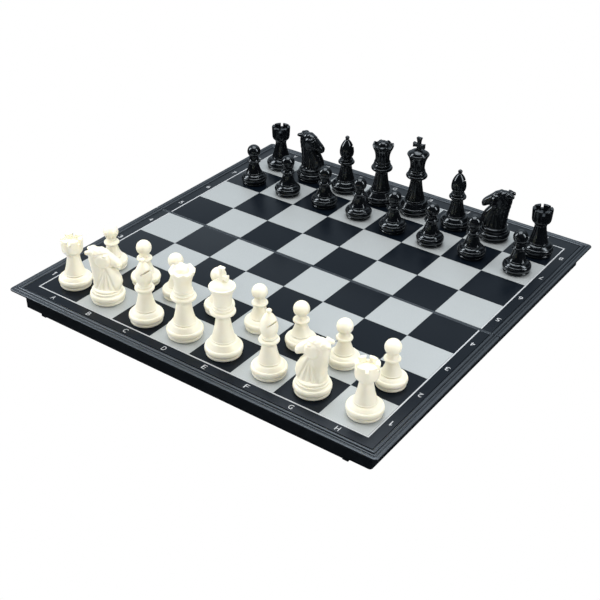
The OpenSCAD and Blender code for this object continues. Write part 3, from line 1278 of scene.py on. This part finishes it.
    def mesh(self) -> bpy.types.Mesh:
        """The whole tray, drawn on the near side of the seam.

        Returns:
            The closed tray.
        """
        board = self.board
        gap = board.seam_gap / 2
        inner = self.wall_e - self.wall_t
        x, y = board.field + inner + self.join, -(board.front + inner + self.join)
        seam_x = board.field + self.wall_e - 0.6
        sweep = RimSweep(board, self.rim_section()).mesh("rim")
        web = box_mesh("web", (-x, y, self.web_low), (x, -gap - 0.05, self.ledge))
        wall = box_mesh("wall", (-seam_x, -gap - self.wall_t, self.rim), (seam_x, -gap, self.ledge), 0.3)
        lip_x = board.field + self.ledge_e + 0.4
        lip = box_mesh(
            "lip", (-lip_x, -board.seam_strip, self.web_high - 1), (lip_x, -gap, board.surface), 0.22
        )
        bosses = self._rods(self.boss_r, self.boss_tall, self._bosses(self.rim + self.boss_tall / 2), "Z")
        made = carved(sweep, [web, wall, lip, *self._ribs(), *bosses], "UNION")
        half_w = board.field + 0.15
        recess = box_mesh(
            "recess",
            (-half_w, -board.front - 0.15, self.web_high),
            (half_w, -board.seam_strip, self.ledge - 0.01),
        )
        other = Half.FAR if self.half is Half.NEAR else Half.NEAR
        hinges = [(s * self.hinge_x, 0, board.axis) for s in (-1, 1)]
        rooms = self._rods(self.barrel_r + 0.35, self.knuckle_l + 0.6, self._knuckles(other))
        paths = self._rods(self.barrel_r - self.play, self.path_l, hinges)
        made = carved(made, [recess, *rooms, *paths], "DIFFERENCE")
        barrels = self._rods(self.barrel_r, self.knuckle_l, self._knuckles(self.half))
        bores = self._rods(self.bore_r, self.bore_l, hinges)
        sockets = self._rods(self.foot_r + self.play, self.socket_tall, self._bosses(self.rim + 0.7), "Z")
        feet = self._rods(self.foot_r, self.foot_tall, self._bosses(self.foot_tall / 2), "Z")
        runs = [self._rim_run(self.tongue_l, self.tongue_t, self.rim - 0.8, self.rim + 0.5, 0.0)]
        ends = (-self.tongue_l / 2, self.tongue_l / 2)
        runs += [self._rim_run(self.nub_w, self.wall_t, 0.0, self.rim + 0.5, end) for end in ends]
        rebate = self._rim_run(self.tongue_l + 1, 1.9, self.rim - 1, self.rim + 1.1, 0.0)
        notch = (self.nub_w + 0.6, self.wall_t + 1, self.rim - 1, self.rim + 2.0)
        notches = [self._rim_run(*notch, end) for end in ends]
        for cut in (rebate, *notches):
            cut.transform(Matrix.Translation((0, -0.5 * MM, 0)))
        if self.half is Half.NEAR:
            made = carved(made, [*barrels, *runs], "UNION")
            made = carved(made, [*bores, *sockets], "DIFFERENCE")
        else:
            made = carved(made, [rebate, *notches], "DIFFERENCE")
            made = carved(made, [*barrels, *feet], "UNION")
            made = carved(made, bores, "DIFFERENCE")
        return smooth(tidy(made, 0.0008), 38)

    def build(self) -> bpy.types.Object:
        """Puts the tray on the set.

        Returns:
            The tray's piece.
        """
        name = f"{self.half.value}_tray"
        mesh = self.board.side(self.half, self.mesh())
        made = piece(f"{name}_moulding", mesh, self.finishes.tray, f"{self.half.value}_half", "tray_black")
        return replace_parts(made, name)


@dataclass
class PlayingPanel:
    """One printed panel with its silver squares, border line and coordinates."""

    board: Board
    half: Half
    finishes: Finishes
    rows: RowPattern
    border: float = 11.0
    thick: float = 1.4
    slip: float = 0.15
    trim: float = 0.1
    line_e: float = 1.3
    line_w: float = 1.1
    far_short: float = 4.0
    letter_e: float = 6.9
    letter_tall: float = 4.7
    letter_wide: float = 3.5
    print_thick: float = 0.03

    @property
    def short(self) -> float:
        """How much shorter this half's print is at its outer edge."""
        return self.far_short if self.half is Half.FAR else 0.0

    def sheet(self) -> bpy.types.Mesh:
        """The dark panel with softened edges.

        Returns:
            The panel.
        """
        x = self.board.field + self.border
        low = (-x, -(self.board.front + self.border), self.board.surface - self.thick)
        high = (x, -self.board.seam_strip - self.slip, self.board.surface)
        return smooth(box_mesh("panel", low, high, 0.2), 50)

    def squares(self) -> bpy.types.Mesh:
        """The sixteen light squares; the outermost run on to the border line.

        Returns:
            The mesh of the squares.
        """
        board = self.board
        size = board.square - self.trim
        part = box_mesh("square", (-size / 2, -size / 2, 0), (size / 2, size / 2, board.foil))
        middle = (-self.trim / 2, -board.seam_strip - 2 * board.square - self.trim / 2, board.surface)
        counts, pitches = (8, 4), (board.square, board.square)
        growth = self.line_e - self.trim
        both = (growth, growth - self.short)
        return self.rows.lay("squares", part, self.finishes.foil, counts, pitches, middle, True, both)

    def line(self) -> bpy.types.Mesh:
        """The silver line round three sides.

        Returns:
            The closed line.
        """
        board = self.board
        seam = -board.seam_strip - self.slip
        corners = []
        for e in (self.line_e, self.line_e + self.line_w):
            x, y = board.field + e, -(board.front + e - self.short)
            corners.append([(-x, seam), (-x, y), (x, y), (x, seam)])
        plan = [*corners[1], *reversed(corners[0])]
        low, high = board.surface, board.surface + board.foil
        points = [(x, y, z) for z in (low, high) for x, y in plan]
        count = len(plan)
        last = count - 1
        faces = []
        for a, b in ((0, 1), (1, 2), (2, 3)):
            under = [a, b, last - b, last - a]
            faces += [under, [count + i for i in (last - a, last - b, b, a)]]
        faces += [[i, count + i, count + (i + 1) % count, (i + 1) % count] for i in range(count)]
        return tidy(mesh_of("line", points, faces))

    def _glyph(self, character: str) -> bpy.types.Mesh:
        """One upright letter or number, centred on the origin, in plain strokes.

        Args:
            character: The letter or number.

        Returns:
            The glyph, lying flat.
        """
        if character == "1":
            bar = [(-0.1, 2.35), (0.5, 2.35), (0.5, -2.35), (-0.25, -2.35)]
            flag = [(-0.25, 1.25), (-1.2, 0.65), (-1.2, 1.45)]
            outline = [(1.15 * x, 1.15 * y) for x, y in (*bar, *flag)]
            made = prism("glyph_1", outline, -self.print_thick / 2, self.print_thick / 2)
            made.transform(Matrix.Rotation(-math.pi / 2, 4, "X"))
            return made
        text = bpy.data.curves.new("glyph", "FONT")
        text.body = character
        text.size = 1.0
        text.resolution_u = 6
        text.extrude = 0.01
        holder = linked("glyph", text)
        made = evaluated_mesh(holder, f"glyph_{character}")
        bpy.data.objects.remove(holder)
        corners = np.array([v.co for v in made.vertices])
        low, high = corners.min(0), corners.max(0)
        middle, size = (low + high) / 2, high - low
        wanted = (self.letter_wide, self.letter_tall, self.print_thick)
        scale = [w / have * MM for w, have in zip(wanted, size)]
        made.transform(Matrix.Diagonal((*scale, 1)) @ Matrix.Translation(-Vector(middle)))
        return made

    def coordinates(self) -> bpy.types.Mesh:
        """Letters along the outer border and numbers up both sides, in place on their half.

        Returns:
            One mesh of all the marks.
        """
        board = self.board
        near = self.half is Half.NEAR
        sign = -1 if near else 1
        out = board.field + self.letter_e
        z = board.surface + self.print_thick / 2
        marks = []
        for i, letter in enumerate("ABCDEFGH"):
            x = (i + 0.5) * board.square - board.field
            marks.append((letter, x, sign * (board.seam_strip + out), not near))
        for i in range(4):
            y = sign * (board.seam_strip + (i + 0.5) * board.square)
            number = str(4 - i if near else 5 + i)
            marks += [(number, -out, y, False), (number, out, y, True)]
        made = []
        for character, x, y, turned in marks:
            turn = Matrix.Rotation(math.pi if turned else 0.0, 4, "Z")
            place = Matrix.Translation(Vector((x, y, z)) * MM) @ turn
            made.append(placed(self._glyph(character), place, "mark"))
        return joined("coordinates", made)

    def build(self) -> list[bpy.types.Object]:
        """Puts the panel and its print on the set.

        Returns:
            The four pieces.
        """
        half, body, finish = self.half.value, f"{self.half.value}_half", self.finishes
        sheet = self.board.side(self.half, self.sheet())
        panel = piece(f"{half}_printed_panel", sheet, finish.panel, body, "panel_black")
        foil = self.squares()
        if self.half is Half.FAR:
            foil = placed(foil, Matrix.Rotation(math.pi, 4, "Z"), "squares")
        squares = piece(f"{half}_foil_squares", foil, finish.foil, body, "silver_foil")
        border = self.board.side(self.half, self.line())
        line = piece(f"{half}_printed_line", border, finish.line, body, "silver_line")
        marks = piece(f"{half}_coordinates", self.coordinates(), finish.line, body, "silver_line")
        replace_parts(panel, f"{half}_panel")
        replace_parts(squares, f"{half}_silver_squares")
        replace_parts(line, f"{half}_border_line")
        return [panel, squares, line, marks]


@dataclass
class Hardware:
    """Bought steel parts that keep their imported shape: the two sheets and the two hinge pins."""

    finishes: Finishes

    def build(self) -> None:
        """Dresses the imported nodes."""
        dressed = {"near_steel_sheet": "sheet", "far_steel_sheet": "sheet"}
        dressed |= {"left_hinge_pin": "pin", "right_hinge_pin": "pin"}
        for node, finish in dressed.items():
            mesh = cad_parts[node].data
            mesh.materials.clear()
            mesh.materials.append(getattr(self.finishes, finish))
            log.info("%-28s dressed as %s", node, finish)


# ---------------------------------------------------------------------------------------------- the men


@dataclass
class Chessman:
    """What all men share: the stepped base with its pocket, the magnet in it and the felt pad under it."""

    lathe: TurningLathe
    finishes: Finishes
    base_r: float = 14.0
    shoulder: float = 12.0
    ring_share: float = 0.64
    ring_tall: float = 1.2
    ring_proud: float = 0.5
    magnet_r: float = 7.0
    magnet_low: float = 1.0
    magnet_high: float = 4.0
    felt_in: float = 2.6
    felt_high: float = 0.95
    body_low: float = 0.25
    hairline: float = 0.05

    def base(self) -> Section:
        """Section of the pocket and the base, up to the ring on its shoulder.

        Returns:
            The section so far.
        """
        r, felt = self.base_r, self.base_r - self.felt_in + self.hairline
        roof, pocket = self.magnet_high + self.hairline, self.magnet_r + self.hairline
        ring, z = self.ring_share * r, self.shoulder
        section = Section().to((0, roof), (pocket, roof), (pocket, self.magnet_low), (felt, self.magnet_low))
        section.to((felt, self.body_low), (r - 2, self.body_low)).bead(r - 0.9, 1.25, 2, 0.6)
        section.to((r - 1.7, 2.5)).bead(r, 5.3, 5.4, 1.6, 18)
        section.curve((r - 2.2, 9), (ring + 1.3, z - 1.2), 9)
        return section.to((ring, z - 0.8)).bead(ring + 0.2, z, self.ring_tall, self.ring_proud, 8)

    def body(self) -> bpy.types.Mesh:
        """The moulded body, standing on the origin."""
        raise NotImplementedError

    def turned(self, section: Section) -> bpy.types.Mesh:
        """A turned body of a section."""
        return self.lathe.turn("body", section, self.finishes.ivory)

    def magnet(self) -> bpy.types.Mesh:
        """The plated disc magnet with its chamfered edges.

        Returns:
            The disc.
        """
        r, low, high = self.magnet_r, self.magnet_low, self.magnet_high
        section = Section().to((0, low), (r - 0.3, low), (r, low + 0.3))
        section.to((r, high - 0.3), (r - 0.3, high), (0, high))
        return smooth(self.lathe.turn("magnet", section, self.finishes.plating, 56))

    def felt(self) -> bpy.types.Mesh:
        """The felt pad, slightly rounded where it was punched out.

        Returns:
            The pad.
        """
        r, high = self.base_r - self.felt_in, self.felt_high
        section = Section().to((0, 0), (r - 1.5, 0.0)).curve((r, 0.0), (r, 0.3), 5).to((r, high - 0.05))
        section.to((r - 0.1, high), (0, high))
        return smooth(self.lathe.turn("felt", section, self.finishes.felt, 56))


@dataclass
class King(Chessman):
    """The king: double collar, flared crown and a heavy cross."""

    base_r: float = 14.8
    shoulder: float = 13.6
    tall: float = 75.5
    cross_z: float = 67.6
    arm: float = 5.8
    thick: float = 3.8

    def cross(self) -> bpy.types.Mesh:
        """The flared cross with rounded edges.

        Returns:
            The closed cross.
        """
        quarter = []
        for reach, flare in ((self.arm, 2.6), (self.tall - self.cross_z, 2.8)):
            quarter.append([(1.5, 1.5), (0.45 * reach, 1.55), (0.8 * reach, 0.78 * flare), (reach, flare)])
        side, top = quarter
        right = [(x, -y) for x, y in side] + [(x, y) for x, y in reversed(side)]
        up = [(y, x) for x, y in top[1:]] + [(-y, x) for x, y in reversed(top)]
        left = [(-x, -y) for x, y in right[1:]]
        outline = [(x, z + self.cross_z) for x, z in (*right, *up, *left)]
        outline += [(-2.6, 62.6), (2.6, 62.6)]
        block = prism("cross", outline, -self.thick / 2, self.thick / 2)
        return bevelled(block, 0.8, 4, 25)

    def body(self) -> bpy.types.Mesh:
        """The turned body with its cross.

        Returns:
            The body's mesh.
        """
        section = self.base().curve((7, 20), (5.4, 32), 16).curve((5.5, 34.4), (8.9, 36.2), 8)
        section.bead(9.9, 37.8, 3, 1.1).to((7.8, 39.6)).bead(8.3, 40.8, 1.9, 0.8, 8).to((7.2, 42.1))
        section.bead(7.6, 43.1, 1.5, 0.6, 8).to((6.9, 44.3)).curve((6.2, 52), (9.8, 58), 14)
        section.bead(10.2, 59, 2, 0.9, 10).to((8.6, 59.8)).curve((7.4, 62.6), (2.8, 63.8), 12)
        section.to((0, 63.9))
        return smooth(carved(self.turned(section), [self.cross()], "UNION"))


@dataclass
class Queen(Chessman):
    """The queen: double collar and a coronet of eight points round a domed cap."""

    base_r: float = 14.6
    shoulder: float = 13.0

    def body(self) -> bpy.types.Mesh:
        """The turned body; the coronet's rim rises and falls eight times.

        Returns:
            The body's mesh.
        """
        section = self.base().curve((6.9, 19.5), (5.8, 29.8), 16).curve((5.9, 32), (9.2, 33.6), 8)
        section.bead(10.1, 35.2, 3, 1.1).to((8.2, 37.1)).bead(8.5, 38.3, 1.9, 0.8, 8).to((7.4, 39.7))
        section.bead(7.7, 41.1, 2.2, 0.7, 10).to((6.9, 42.5)).curve((6, 49), (9.1, 54.8), 14)
        section.to((9.7, 56.4)).to((9.95, 57.6), wave=0.35).to((10.0, 58.2), wave=0.75)
        section.to((9.75, 58.55), (8.75, 58.55), (8.4, 58.2), wave=0.78).to((8.0, 57.4), wave=0.4)
        section.to((7.3, 56.8)).curve((6.2, 56.9), (5.5, 57.7), 5).curve((5.2, 61.7), (1.35, 62.1), 14)
        section.curve((1.15, 62.95), (0, 63.0), 6)
        return smooth(self.turned(section))


@dataclass
class Bishop(Chessman):
    """The bishop: mitre with its slanted cut, and a ball on top."""

    base_r: float = 13.9
    cut_place: tuple = (2.0, 0.0, 44.2)
    cut_wide: float = 1.2
    cut_turn: float = -38.0

    def body(self) -> bpy.types.Mesh:
        """The turned body with the cut in its mitre.

        Returns:
            The body's mesh.
        """
        section = self.base().curve((6.4, 17.5), (5.3, 26), 14).curve((5.4, 27.6), (6.9, 28.6), 7)
        section.bead(7.9, 30.1, 2.6, 1).to((6.2, 31.6)).bead(6.4, 32.8, 1.8, 0.7, 8).to((5.0, 34.2))
        section.to((5.0, 35.6)).curve((7, 37.2), (6.8, 41.6), 10).curve((6.3, 48.6), (1.5, 53.2), 16)
        section.bead(2.05, 54.9, 2.9, 1.2, 12).curve((0.6, 56.95), (0, 57.0), 4)
        slot = box_mesh("cut", (0, -10, -self.cut_wide / 2), (14, 10, self.cut_wide / 2))
        turn = Matrix.Rotation(math.radians(self.cut_turn), 4, "Y")
        slot.transform(Matrix.Translation(Vector(self.cut_place) * MM) @ turn)
        return smooth(carved(self.turned(section), [slot], "DIFFERENCE"))


@dataclass
class Rook(Chessman):
    """The rook: a flared tower, hollow at the top, with six merlons."""

    base_r: float = 14.0
    shoulder: float = 11.6
    tall: float = 44.0
    hollow: float = 4.4
    gap: float = 2.4
    gap_deep: float = 3.6

    def body(self) -> bpy.types.Mesh:
        """The turned tower with its gaps cut.

        Returns:
            The body's mesh.
        """
        top = self.tall
        section = self.base().curve((6.5, 18), (5.3, 26.5), 14).curve((5.3, 29.4), (7.4, 31), 9)
        section.curve((8.6, 32), (8.7, 35), 8).to((9.1, top - 1.0)).curve((9.15, top), (8.4, top), 5)
        section.to((6.7, top)).curve((6.15, top), (6.1, top - 0.5), 4)
        section.to((6.0, top - self.hollow), (0, top - self.hollow))
        bar = box_mesh("bar", (-15, -self.gap / 2, top - self.gap_deep), (15, self.gap / 2, top + 6))
        bars = [placed(bar, Matrix.Rotation(math.radians(60 * i), 4, "Z"), f"bar_{i}") for i in range(3)]
        return smooth(carved(self.turned(section), bars, "DIFFERENCE"), 30)


@dataclass
class Pawn(Chessman):
    """The pawn: a waisted stem, one collar and a ball."""

    base_r: float = 12.5
    shoulder: float = 11.0
    tall: float = 39.4
    ball_r: float = 6.4
    # angles of the ball's arc, from the neck to the top, and its steps
    ball_from: float = -50.0
    ball_to: float = 90.0
    ball_steps: int = 26

    def body(self) -> bpy.types.Mesh:
        """The turned body.

        Returns:
            The body's mesh.
        """
        section = self.base().curve((5.6, 15.5), (4.7, 20.4), 14).curve((4.8, 21.4), (5.6, 22), 6)
        section.bead(6.5, 23.1, 2.2, 0.9, 10).to((5.2, 24.3)).curve((4.3, 25.2), (4.2, 27), 8)
        for i in range(self.ball_steps + 1):
            share = i / self.ball_steps
            turn = math.radians(self.ball_from + (self.ball_to - self.ball_from) * share)
            section.to((self.ball_r * math.cos(turn), self.tall - self.ball_r * (1 - math.sin(turn))))
        return smooth(self.turned(section))


@dataclass
class Knight(Chessman):
    """The knight: a horse's head with fluted neck, cheek, ears and mane, muzzle towards +X."""

    base_r: float = 14.4
    shoulder: float = 11.4
    ring_share: float = 0.78
    ring_tall: float = 2.0
    ring_proud: float = 0.7
    voxel: float = 0.38
    ring_steps: int = 28
    # from the neck to the muzzle: back (x, z), front (x, z) and half width of each station
    stations: tuple = (
        ((-10.0, 10.5), (10.0, 10.5), 9.0),
        ((-10.4, 13), (12.0, 13), 8.4),
        ((-10.5, 17.5), (13.3, 17), 7.4),
        ((-10.7, 22.5), (12.6, 21.5), 6.6),
        ((-11.3, 27.5), (10.2, 26), 6.1),
        ((-12.2, 33), (7.6, 29.4), 5.9),
        ((-13.0, 38.5), (6.0, 31), 5.8),
        ((-12.6, 43.5), (5.6, 31.8), 5.7),
        ((-8.0, 46.8), (6.4, 32), 5.6),
        ((-2, 47.5), (7.4, 31.8), 5.2),
        ((2.8, 45.4), (8.4, 31.3), 4.6),
        ((5.8, 42.6), (9.4, 30.7), 4.1),
        ((8.4, 40.4), (10.4, 30.2), 3.9),
        ((11.0, 38.2), (11.6, 29.9), 3.9),
        ((13.0, 36.0), (12.8, 30.4), 3.3),
        ((13.9, 34.0), (13.6, 31.8), 1.9),
    )
    # marks on the flanks, as (x, z): feet of the flutes, then points and lines
    flutes: tuple = (-6.5, -1.5, 3.5, 8.5)
    cheek: tuple = (-0.6, 37.6)
    eye: tuple = (1.8, 42.6)
    nostril: tuple = (11.6, 35.4)
    mouth: tuple = ((13.9, 32.4), (9.2, 33.4))
    mane: tuple = (
        ((-12.8, 41.0), (-11.2, 26.0)),
        ((-11.2, 26.0), (-10.4, 13.0)),
        ((-12.8, 41.0), (-5.0, 46.8)),
    )
    mane_wide: float = 4.4
    lock_pitch: float = 3.4

    def blank(self) -> bpy.types.Mesh:
        """The rough head: a closed loft through the stations, with two ears.

        Returns:
            The closed shells of the head and both ears.
        """
        points, faces = [], []
        for back, front, wide in self.stations:
            middle, reach = (Vector(back) + Vector(front)) / 2, (Vector(front) - Vector(back)) / 2
            for i in range(self.ring_steps):
                turn = 2 * math.pi * i / self.ring_steps
                along, across = math.cos(turn), math.sin(turn)
                along = math.copysign(abs(along) ** 0.8, along)
                across = math.copysign(abs(across) ** 0.8, across)
                spot = middle + reach * along
                points.append((spot.x, wide * across, spot.y))
        n = self.ring_steps
        for a in range(len(self.stations) - 1):
            for i in range(n):
                faces.append([a * n + i, a * n + (i + 1) % n, (a + 1) * n + (i + 1) % n, (a + 1) * n + i])
        faces.append(list(range(n)))
        faces.append([(len(self.stations) - 1) * n + i for i in reversed(range(n))])
        head = tidy(mesh_of("head", points, faces))
        shells = [head]
        for side in (-1, 1):
            foot, tip = Vector((-8.2, 3.0 * side, 44.6)), Vector((-14.6, 3.9 * side, 43.9))
            work = bmesh.new()
            sizes = {"radius1": 2.9 * MM, "radius2": 1.3 * MM, "depth": (tip - foot).length * MM}
            bmesh.ops.create_cone(work, cap_ends=True, segments=16, **sizes)
            turn = (tip - foot).to_track_quat("Z", "Y").to_matrix().to_4x4()
            place = Matrix.Translation((foot + tip) / 2 * MM) @ turn
            bmesh.ops.transform(work, matrix=place, verts=work.verts)
            shells.append(shut(work, "ear"))
        return joined("head", shells)

    @staticmethod
    def _bump(distance: np.ndarray, width: float) -> np.ndarray:
        """A rounded hill of height one at no distance, gone at a width."""
        share = np.clip(1 - (distance / width) ** 2, 0, 1)
        return share * share

    @staticmethod
    def _to_line(x: np.ndarray, z: np.ndarray, start: tuple, end: tuple) -> np.ndarray:
        """Distance from points in the X-Z plane to a line between two points."""
        line = np.subtract(end, start)
        share = np.clip(((x - start[0]) * line[0] + (z - start[1]) * line[1]) / (line @ line), 0, 1)
        return np.hypot(x - start[0] - share * line[0], z - start[1] - share * line[1])

    def relief(self, x: np.ndarray, y: np.ndarray, z: np.ndarray) -> np.ndarray:
        """How far each point of the head's surface moves outwards, in millimetres.

        Args:
            x: Places along the horse.
            y: Places across it.
            z: Heights.

        Returns:
            The moves.
        """
        flank = np.clip((np.abs(y) - 1.2) / 2.2, 0, 1)
        rise = np.zeros(len(x))
        for foot_x in self.flutes:
            start = (0.5 + foot_x * 0.14, 30.5)
            rise -= 0.7 * self._bump(self._to_line(x, z, start, (foot_x, 12.0)), 1.5) * flank
        cheek = np.hypot(x - self.cheek[0], z - self.cheek[1])
        rise += 0.6 * np.clip((5.6 - cheek) / 1.1, 0, 1) * flank
        rise -= 0.35 * self._bump(cheek - 6.4, 0.9) * flank
        eye = np.hypot((x - self.eye[0]) / 1.5, z - self.eye[1])
        rise += 0.7 * self._bump(eye, 1.2) * flank
        rise -= 0.45 * self._bump(eye - 1.7, 0.6) * flank
        nostril = np.hypot(x - self.nostril[0], z - self.nostril[1])
        rise -= 0.6 * self._bump(nostril, 1.1) * (np.abs(y) > 1.4)
        rise -= 0.6 * self._bump(self._to_line(x, z, *self.mouth), 0.6) * (np.abs(y) > 0.4)
        # the mane: a band down the back of the neck, parted into slanting locks
        behind = np.min([self._to_line(x, z, *line) for line in self.mane], axis=0)
        band = np.clip((self.mane_wide - behind) / 1.2, 0, 1)
        locks = 0.5 + 0.5 * np.cos(2 * math.pi * (z * 0.92 + x * 0.75 - np.abs(y) * 0.25) / self.lock_pitch)
        rise += band * (0.1 + 0.24 * locks)
        return rise * np.clip((z - 12.6) / 1.4, 0, 1)

    def head(self) -> bpy.types.Mesh:
        """The finished head.

        Returns:
            The head's mesh.
        """
        remesh = {"mode": "VOXEL", "voxel_size": self.voxel * MM, "adaptivity": 0.0}
        even = {"factor": 0.6, "iterations": 7}
        made = modified(self.blank(), ("REMESH", remesh), ("SMOOTH", even))
        count = len(made.vertices)
        spots, normals = np.empty(count * 3), np.empty(count * 3)
        made.vertices.foreach_get("co", spots)
        made.vertex_normals.foreach_get("vector", normals)
        spots, normals = spots.reshape(-1, 3), normals.reshape(-1, 3)
        rise = self.relief(*(spots.T / MM)) * MM
        made.vertices.foreach_set("co", (spots + normals * rise[:, None]).ravel())
        made.update()
        return modified(made, ("SMOOTH", {"factor": 0.35, "iterations": 2}))

    def body(self) -> bpy.types.Mesh:
        """The turned plinth with the head on it."""
        section = self.base().to((10.6, 12.3)).curve((10.2, 12.6), (9.4, 12.7), 4).to((0, 12.7))
        return smooth(carved(self.turned(section), [self.head()], "UNION"), 50)


MEN = {
    Kind.KING: King,
    Kind.QUEEN: Queen,
    Kind.BISHOP: Bishop,
    Kind.KNIGHT: Knight,
    Kind.ROOK: Rook,
    Kind.PAWN: Pawn,
}


@dataclass
class ChessSet:
    """All thirty-two men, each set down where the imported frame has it."""

    lathe: TurningLathe
    finishes: Finishes
    # which way each knight looks, in degrees from +X
    looks: dict = field(default_factory=lambda: {"b1": 28, "g1": 192, "b8": 0, "g8": 197})

    @staticmethod
    def _standing_point(node: str) -> Vector:
        """Middle of the foot of a packed man.

        Args:
            node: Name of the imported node.

        Returns:
            The point, in metres.
        """
        corners = np.array([v.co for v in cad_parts[node].data.vertices])
        foot = corners[corners[:, 2] < corners[:, 2].min() + 0.0001]
        middle = (foot.min(0) + foot.max(0)) / 2
        return Vector((middle[0], middle[1], foot[:, 2].min()))

    def build(self) -> None:
        """Builds each kind once and sets its copies down."""
        nodes = [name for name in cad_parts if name.split("_")[0] in ("white", "black")]
        for kind, maker in MEN.items():
            man = maker(self.lathe, self.finishes)
            parts = {"body": man.body(), "magnet": man.magnet(), "felt": man.felt()}
            for node in sorted(n for n in nodes if n.split("_")[1] == kind.value):
                self._set_down(node, kind, parts)

    def _set_down(self, node: str, kind: Kind, parts: dict[str, bpy.types.Mesh]) -> None:
        """Sets one man down.

        Args:
            node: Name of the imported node.
            kind: Its kind.
            parts: Meshes of its parts, standing on the origin.
        """
        side = Side(node.split("_")[0])
        look = self.looks.get(node[-2:], 0) if kind is Kind.KNIGHT else 0
        turn = Matrix.Rotation(math.radians(look), 4, "Z")
        place = Matrix.Translation(self._standing_point(node)) @ turn
        slot = f"{'ivory' if side is Side.WHITE else 'jet'}_plastic"
        wear = {"body": self.finishes.man(side), "magnet": self.finishes.plating, "felt": self.finishes.felt}
        for part, mesh in parts.items():
            name = f"{node}_{part}"
            made = piece(name, placed(mesh, place, name), wear[part], node, slot if part == "body" else "")
            if part == "body":
                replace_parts(made, node)


# ---------------------------------------------------------------------------------------------- the studio


@dataclass
class Studio:
    """Camera, floor, world and lamps of a plain white product shot."""

    aim: tuple = (0.02315, -0.05045, 0.0208)
    forward: tuple = (-0.48462, 0.68776, -0.54049)
    right: tuple = (0.81203, 0.58344, 0.01433)
    distance: float = 0.8914
    lens: float = 65.32
    floor_size: float = 4.0
    sky_high: float = 0.66
    sky_low: float = 0.03
    bright_side: tuple = (-0.45, 0.65, 0.61)
    # each lamp's name, place, the point it faces, size and power
    lamps: tuple = (
        ("overhead", (-0.05, 0.1, 1.15), (0.0, 0.0, 0.0), (0.9, 0.9), 11.8),
        ("left_strip", (-1.0, -0.45, 0.62), (0.0, 0.0, 0.03), (0.3, 0.9), 9.5),
        ("right_strip", (0.95, 0.25, 0.62), (0.0, 0.0, 0.03), (0.28, 0.9), 6.5),
        ("front_fill", (0.45, -1.2, 0.9), (0.0, 0.0, 0.02), (0.8, 0.5), 8.0),
    )
    unreflected: str = "front_fill"

    def camera(self) -> None:
        """Sets the camera up."""
        data = bpy.data.cameras.new("camera")
        data.lens, data.sensor_width = self.lens, 36.0
        data.clip_start, data.clip_end = 0.02, 40.0
        made = linked("camera", data)
        forward = Vector(self.forward).normalized()
        right = (Vector(self.right) - forward * forward.dot(Vector(self.right))).normalized()
        up = right.cross(forward)
        turn = Matrix((right, up, -forward)).transposed().to_4x4()
        made.matrix_world = Matrix.Translation(Vector(self.aim) - forward * self.distance) @ turn
        bpy.context.scene.camera = made

    def floor(self) -> None:
        """A pale floor under the set, which lights it from below and stays out of its reflections."""
        bench = ShaderBench("pale_floor")
        grey = bench.blend(bench.cloud(60.0), (0.8, 0.8, 0.8), (0.84, 0.84, 0.84))
        finish = bench.close({"Base Color": grey, "Roughness": 0.9})
        half = self.floor_size / 2 / MM
        corners = [(-half, -half), (half, -half), (half, half), (-half, half)]
        mesh = mesh_of("floor", [(x, y, -0.5) for x, y in corners], [(0, 1, 2, 3)])
        mesh.materials.append(finish)
        made = linked("floor", mesh)
        made.visible_camera = False
        made.visible_glossy = False

    def world(self) -> None:
        """White behind the set, and round it a dim room that is bright high up at the back."""
        world = bpy.data.worlds.new("studio")
        world.use_nodes = True
        bpy.context.scene.world = world
        bench = NodeBench(world.node_tree)
        x, y, z = bench.split(bench.value("ShaderNodeTexCoord", output="Generated"))
        side_x, side_y, side_z = self.bright_side
        towards = x * side_x + y * side_y + z * side_z
        light = towards.ease(0.45, 0.95) * (self.sky_high - self.sky_low) + self.sky_low
        background = "ShaderNodeBackground"
        room = bench.value(background, None, {"Color": (0.8, 0.91, 1.0, 1.0), "Strength": light})
        white = bench.value(background, None, {"Color": (1.0, 1.0, 1.0, 1.0), "Strength": 1.0})
        seen = bench.value("ShaderNodeLightPath", output="Is Camera Ray")
        both = bench.value("ShaderNodeMixShader", None, {0: seen, 1: room, 2: white})
        bench.node("ShaderNodeOutputWorld", None, {"Surface": both})

    def lamp(self, name: str, place: tuple, aim: tuple, size: tuple, power: float) -> bpy.types.Object:
        """One softbox.

        Args:
            name: Its name.
            place: Where it hangs, in metres.
            aim: The point it faces.
            size: Its width and height.
            power: Its power in watts.

        Returns:
            The lamp.
        """
        data = bpy.data.lights.new(name, "AREA")
        data.shape, data.size, data.size_y, data.energy = "RECTANGLE", size[0], size[1], power
        made = linked(name, data)
        turn = (Vector(aim) - Vector(place)).to_track_quat("-Z", "Y").to_matrix().to_4x4()
        made.matrix_world = Matrix.Translation(place) @ turn
        made.visible_camera = False
        return made

    def build(self) -> None:
        """Sets the whole studio up."""
        self.camera()
        self.floor()
        self.world()
        for name, *numbers in self.lamps:
            made = self.lamp(name, *numbers)
            made.visible_glossy = name != self.unreflected
        bpy.context.scene.view_settings.view_transform = "Standard"


def main() -> None:
    """Builds the set in order: studio, boards, hardware, men."""
    logging.basicConfig(level=logging.INFO, format="%(message)s")
    Studio().build()
    finishes = Finishes()
    board = Board()
    rows, lathe = RowPattern(), TurningLathe()
    for half in Half:
        Tray(board, half, finishes, rows).build()
        PlayingPanel(board, half, finishes, rows).build()
    Hardware(finishes).build()
    ChessSet(lathe, finishes).build()


if __name__ == "__main__":
    main()
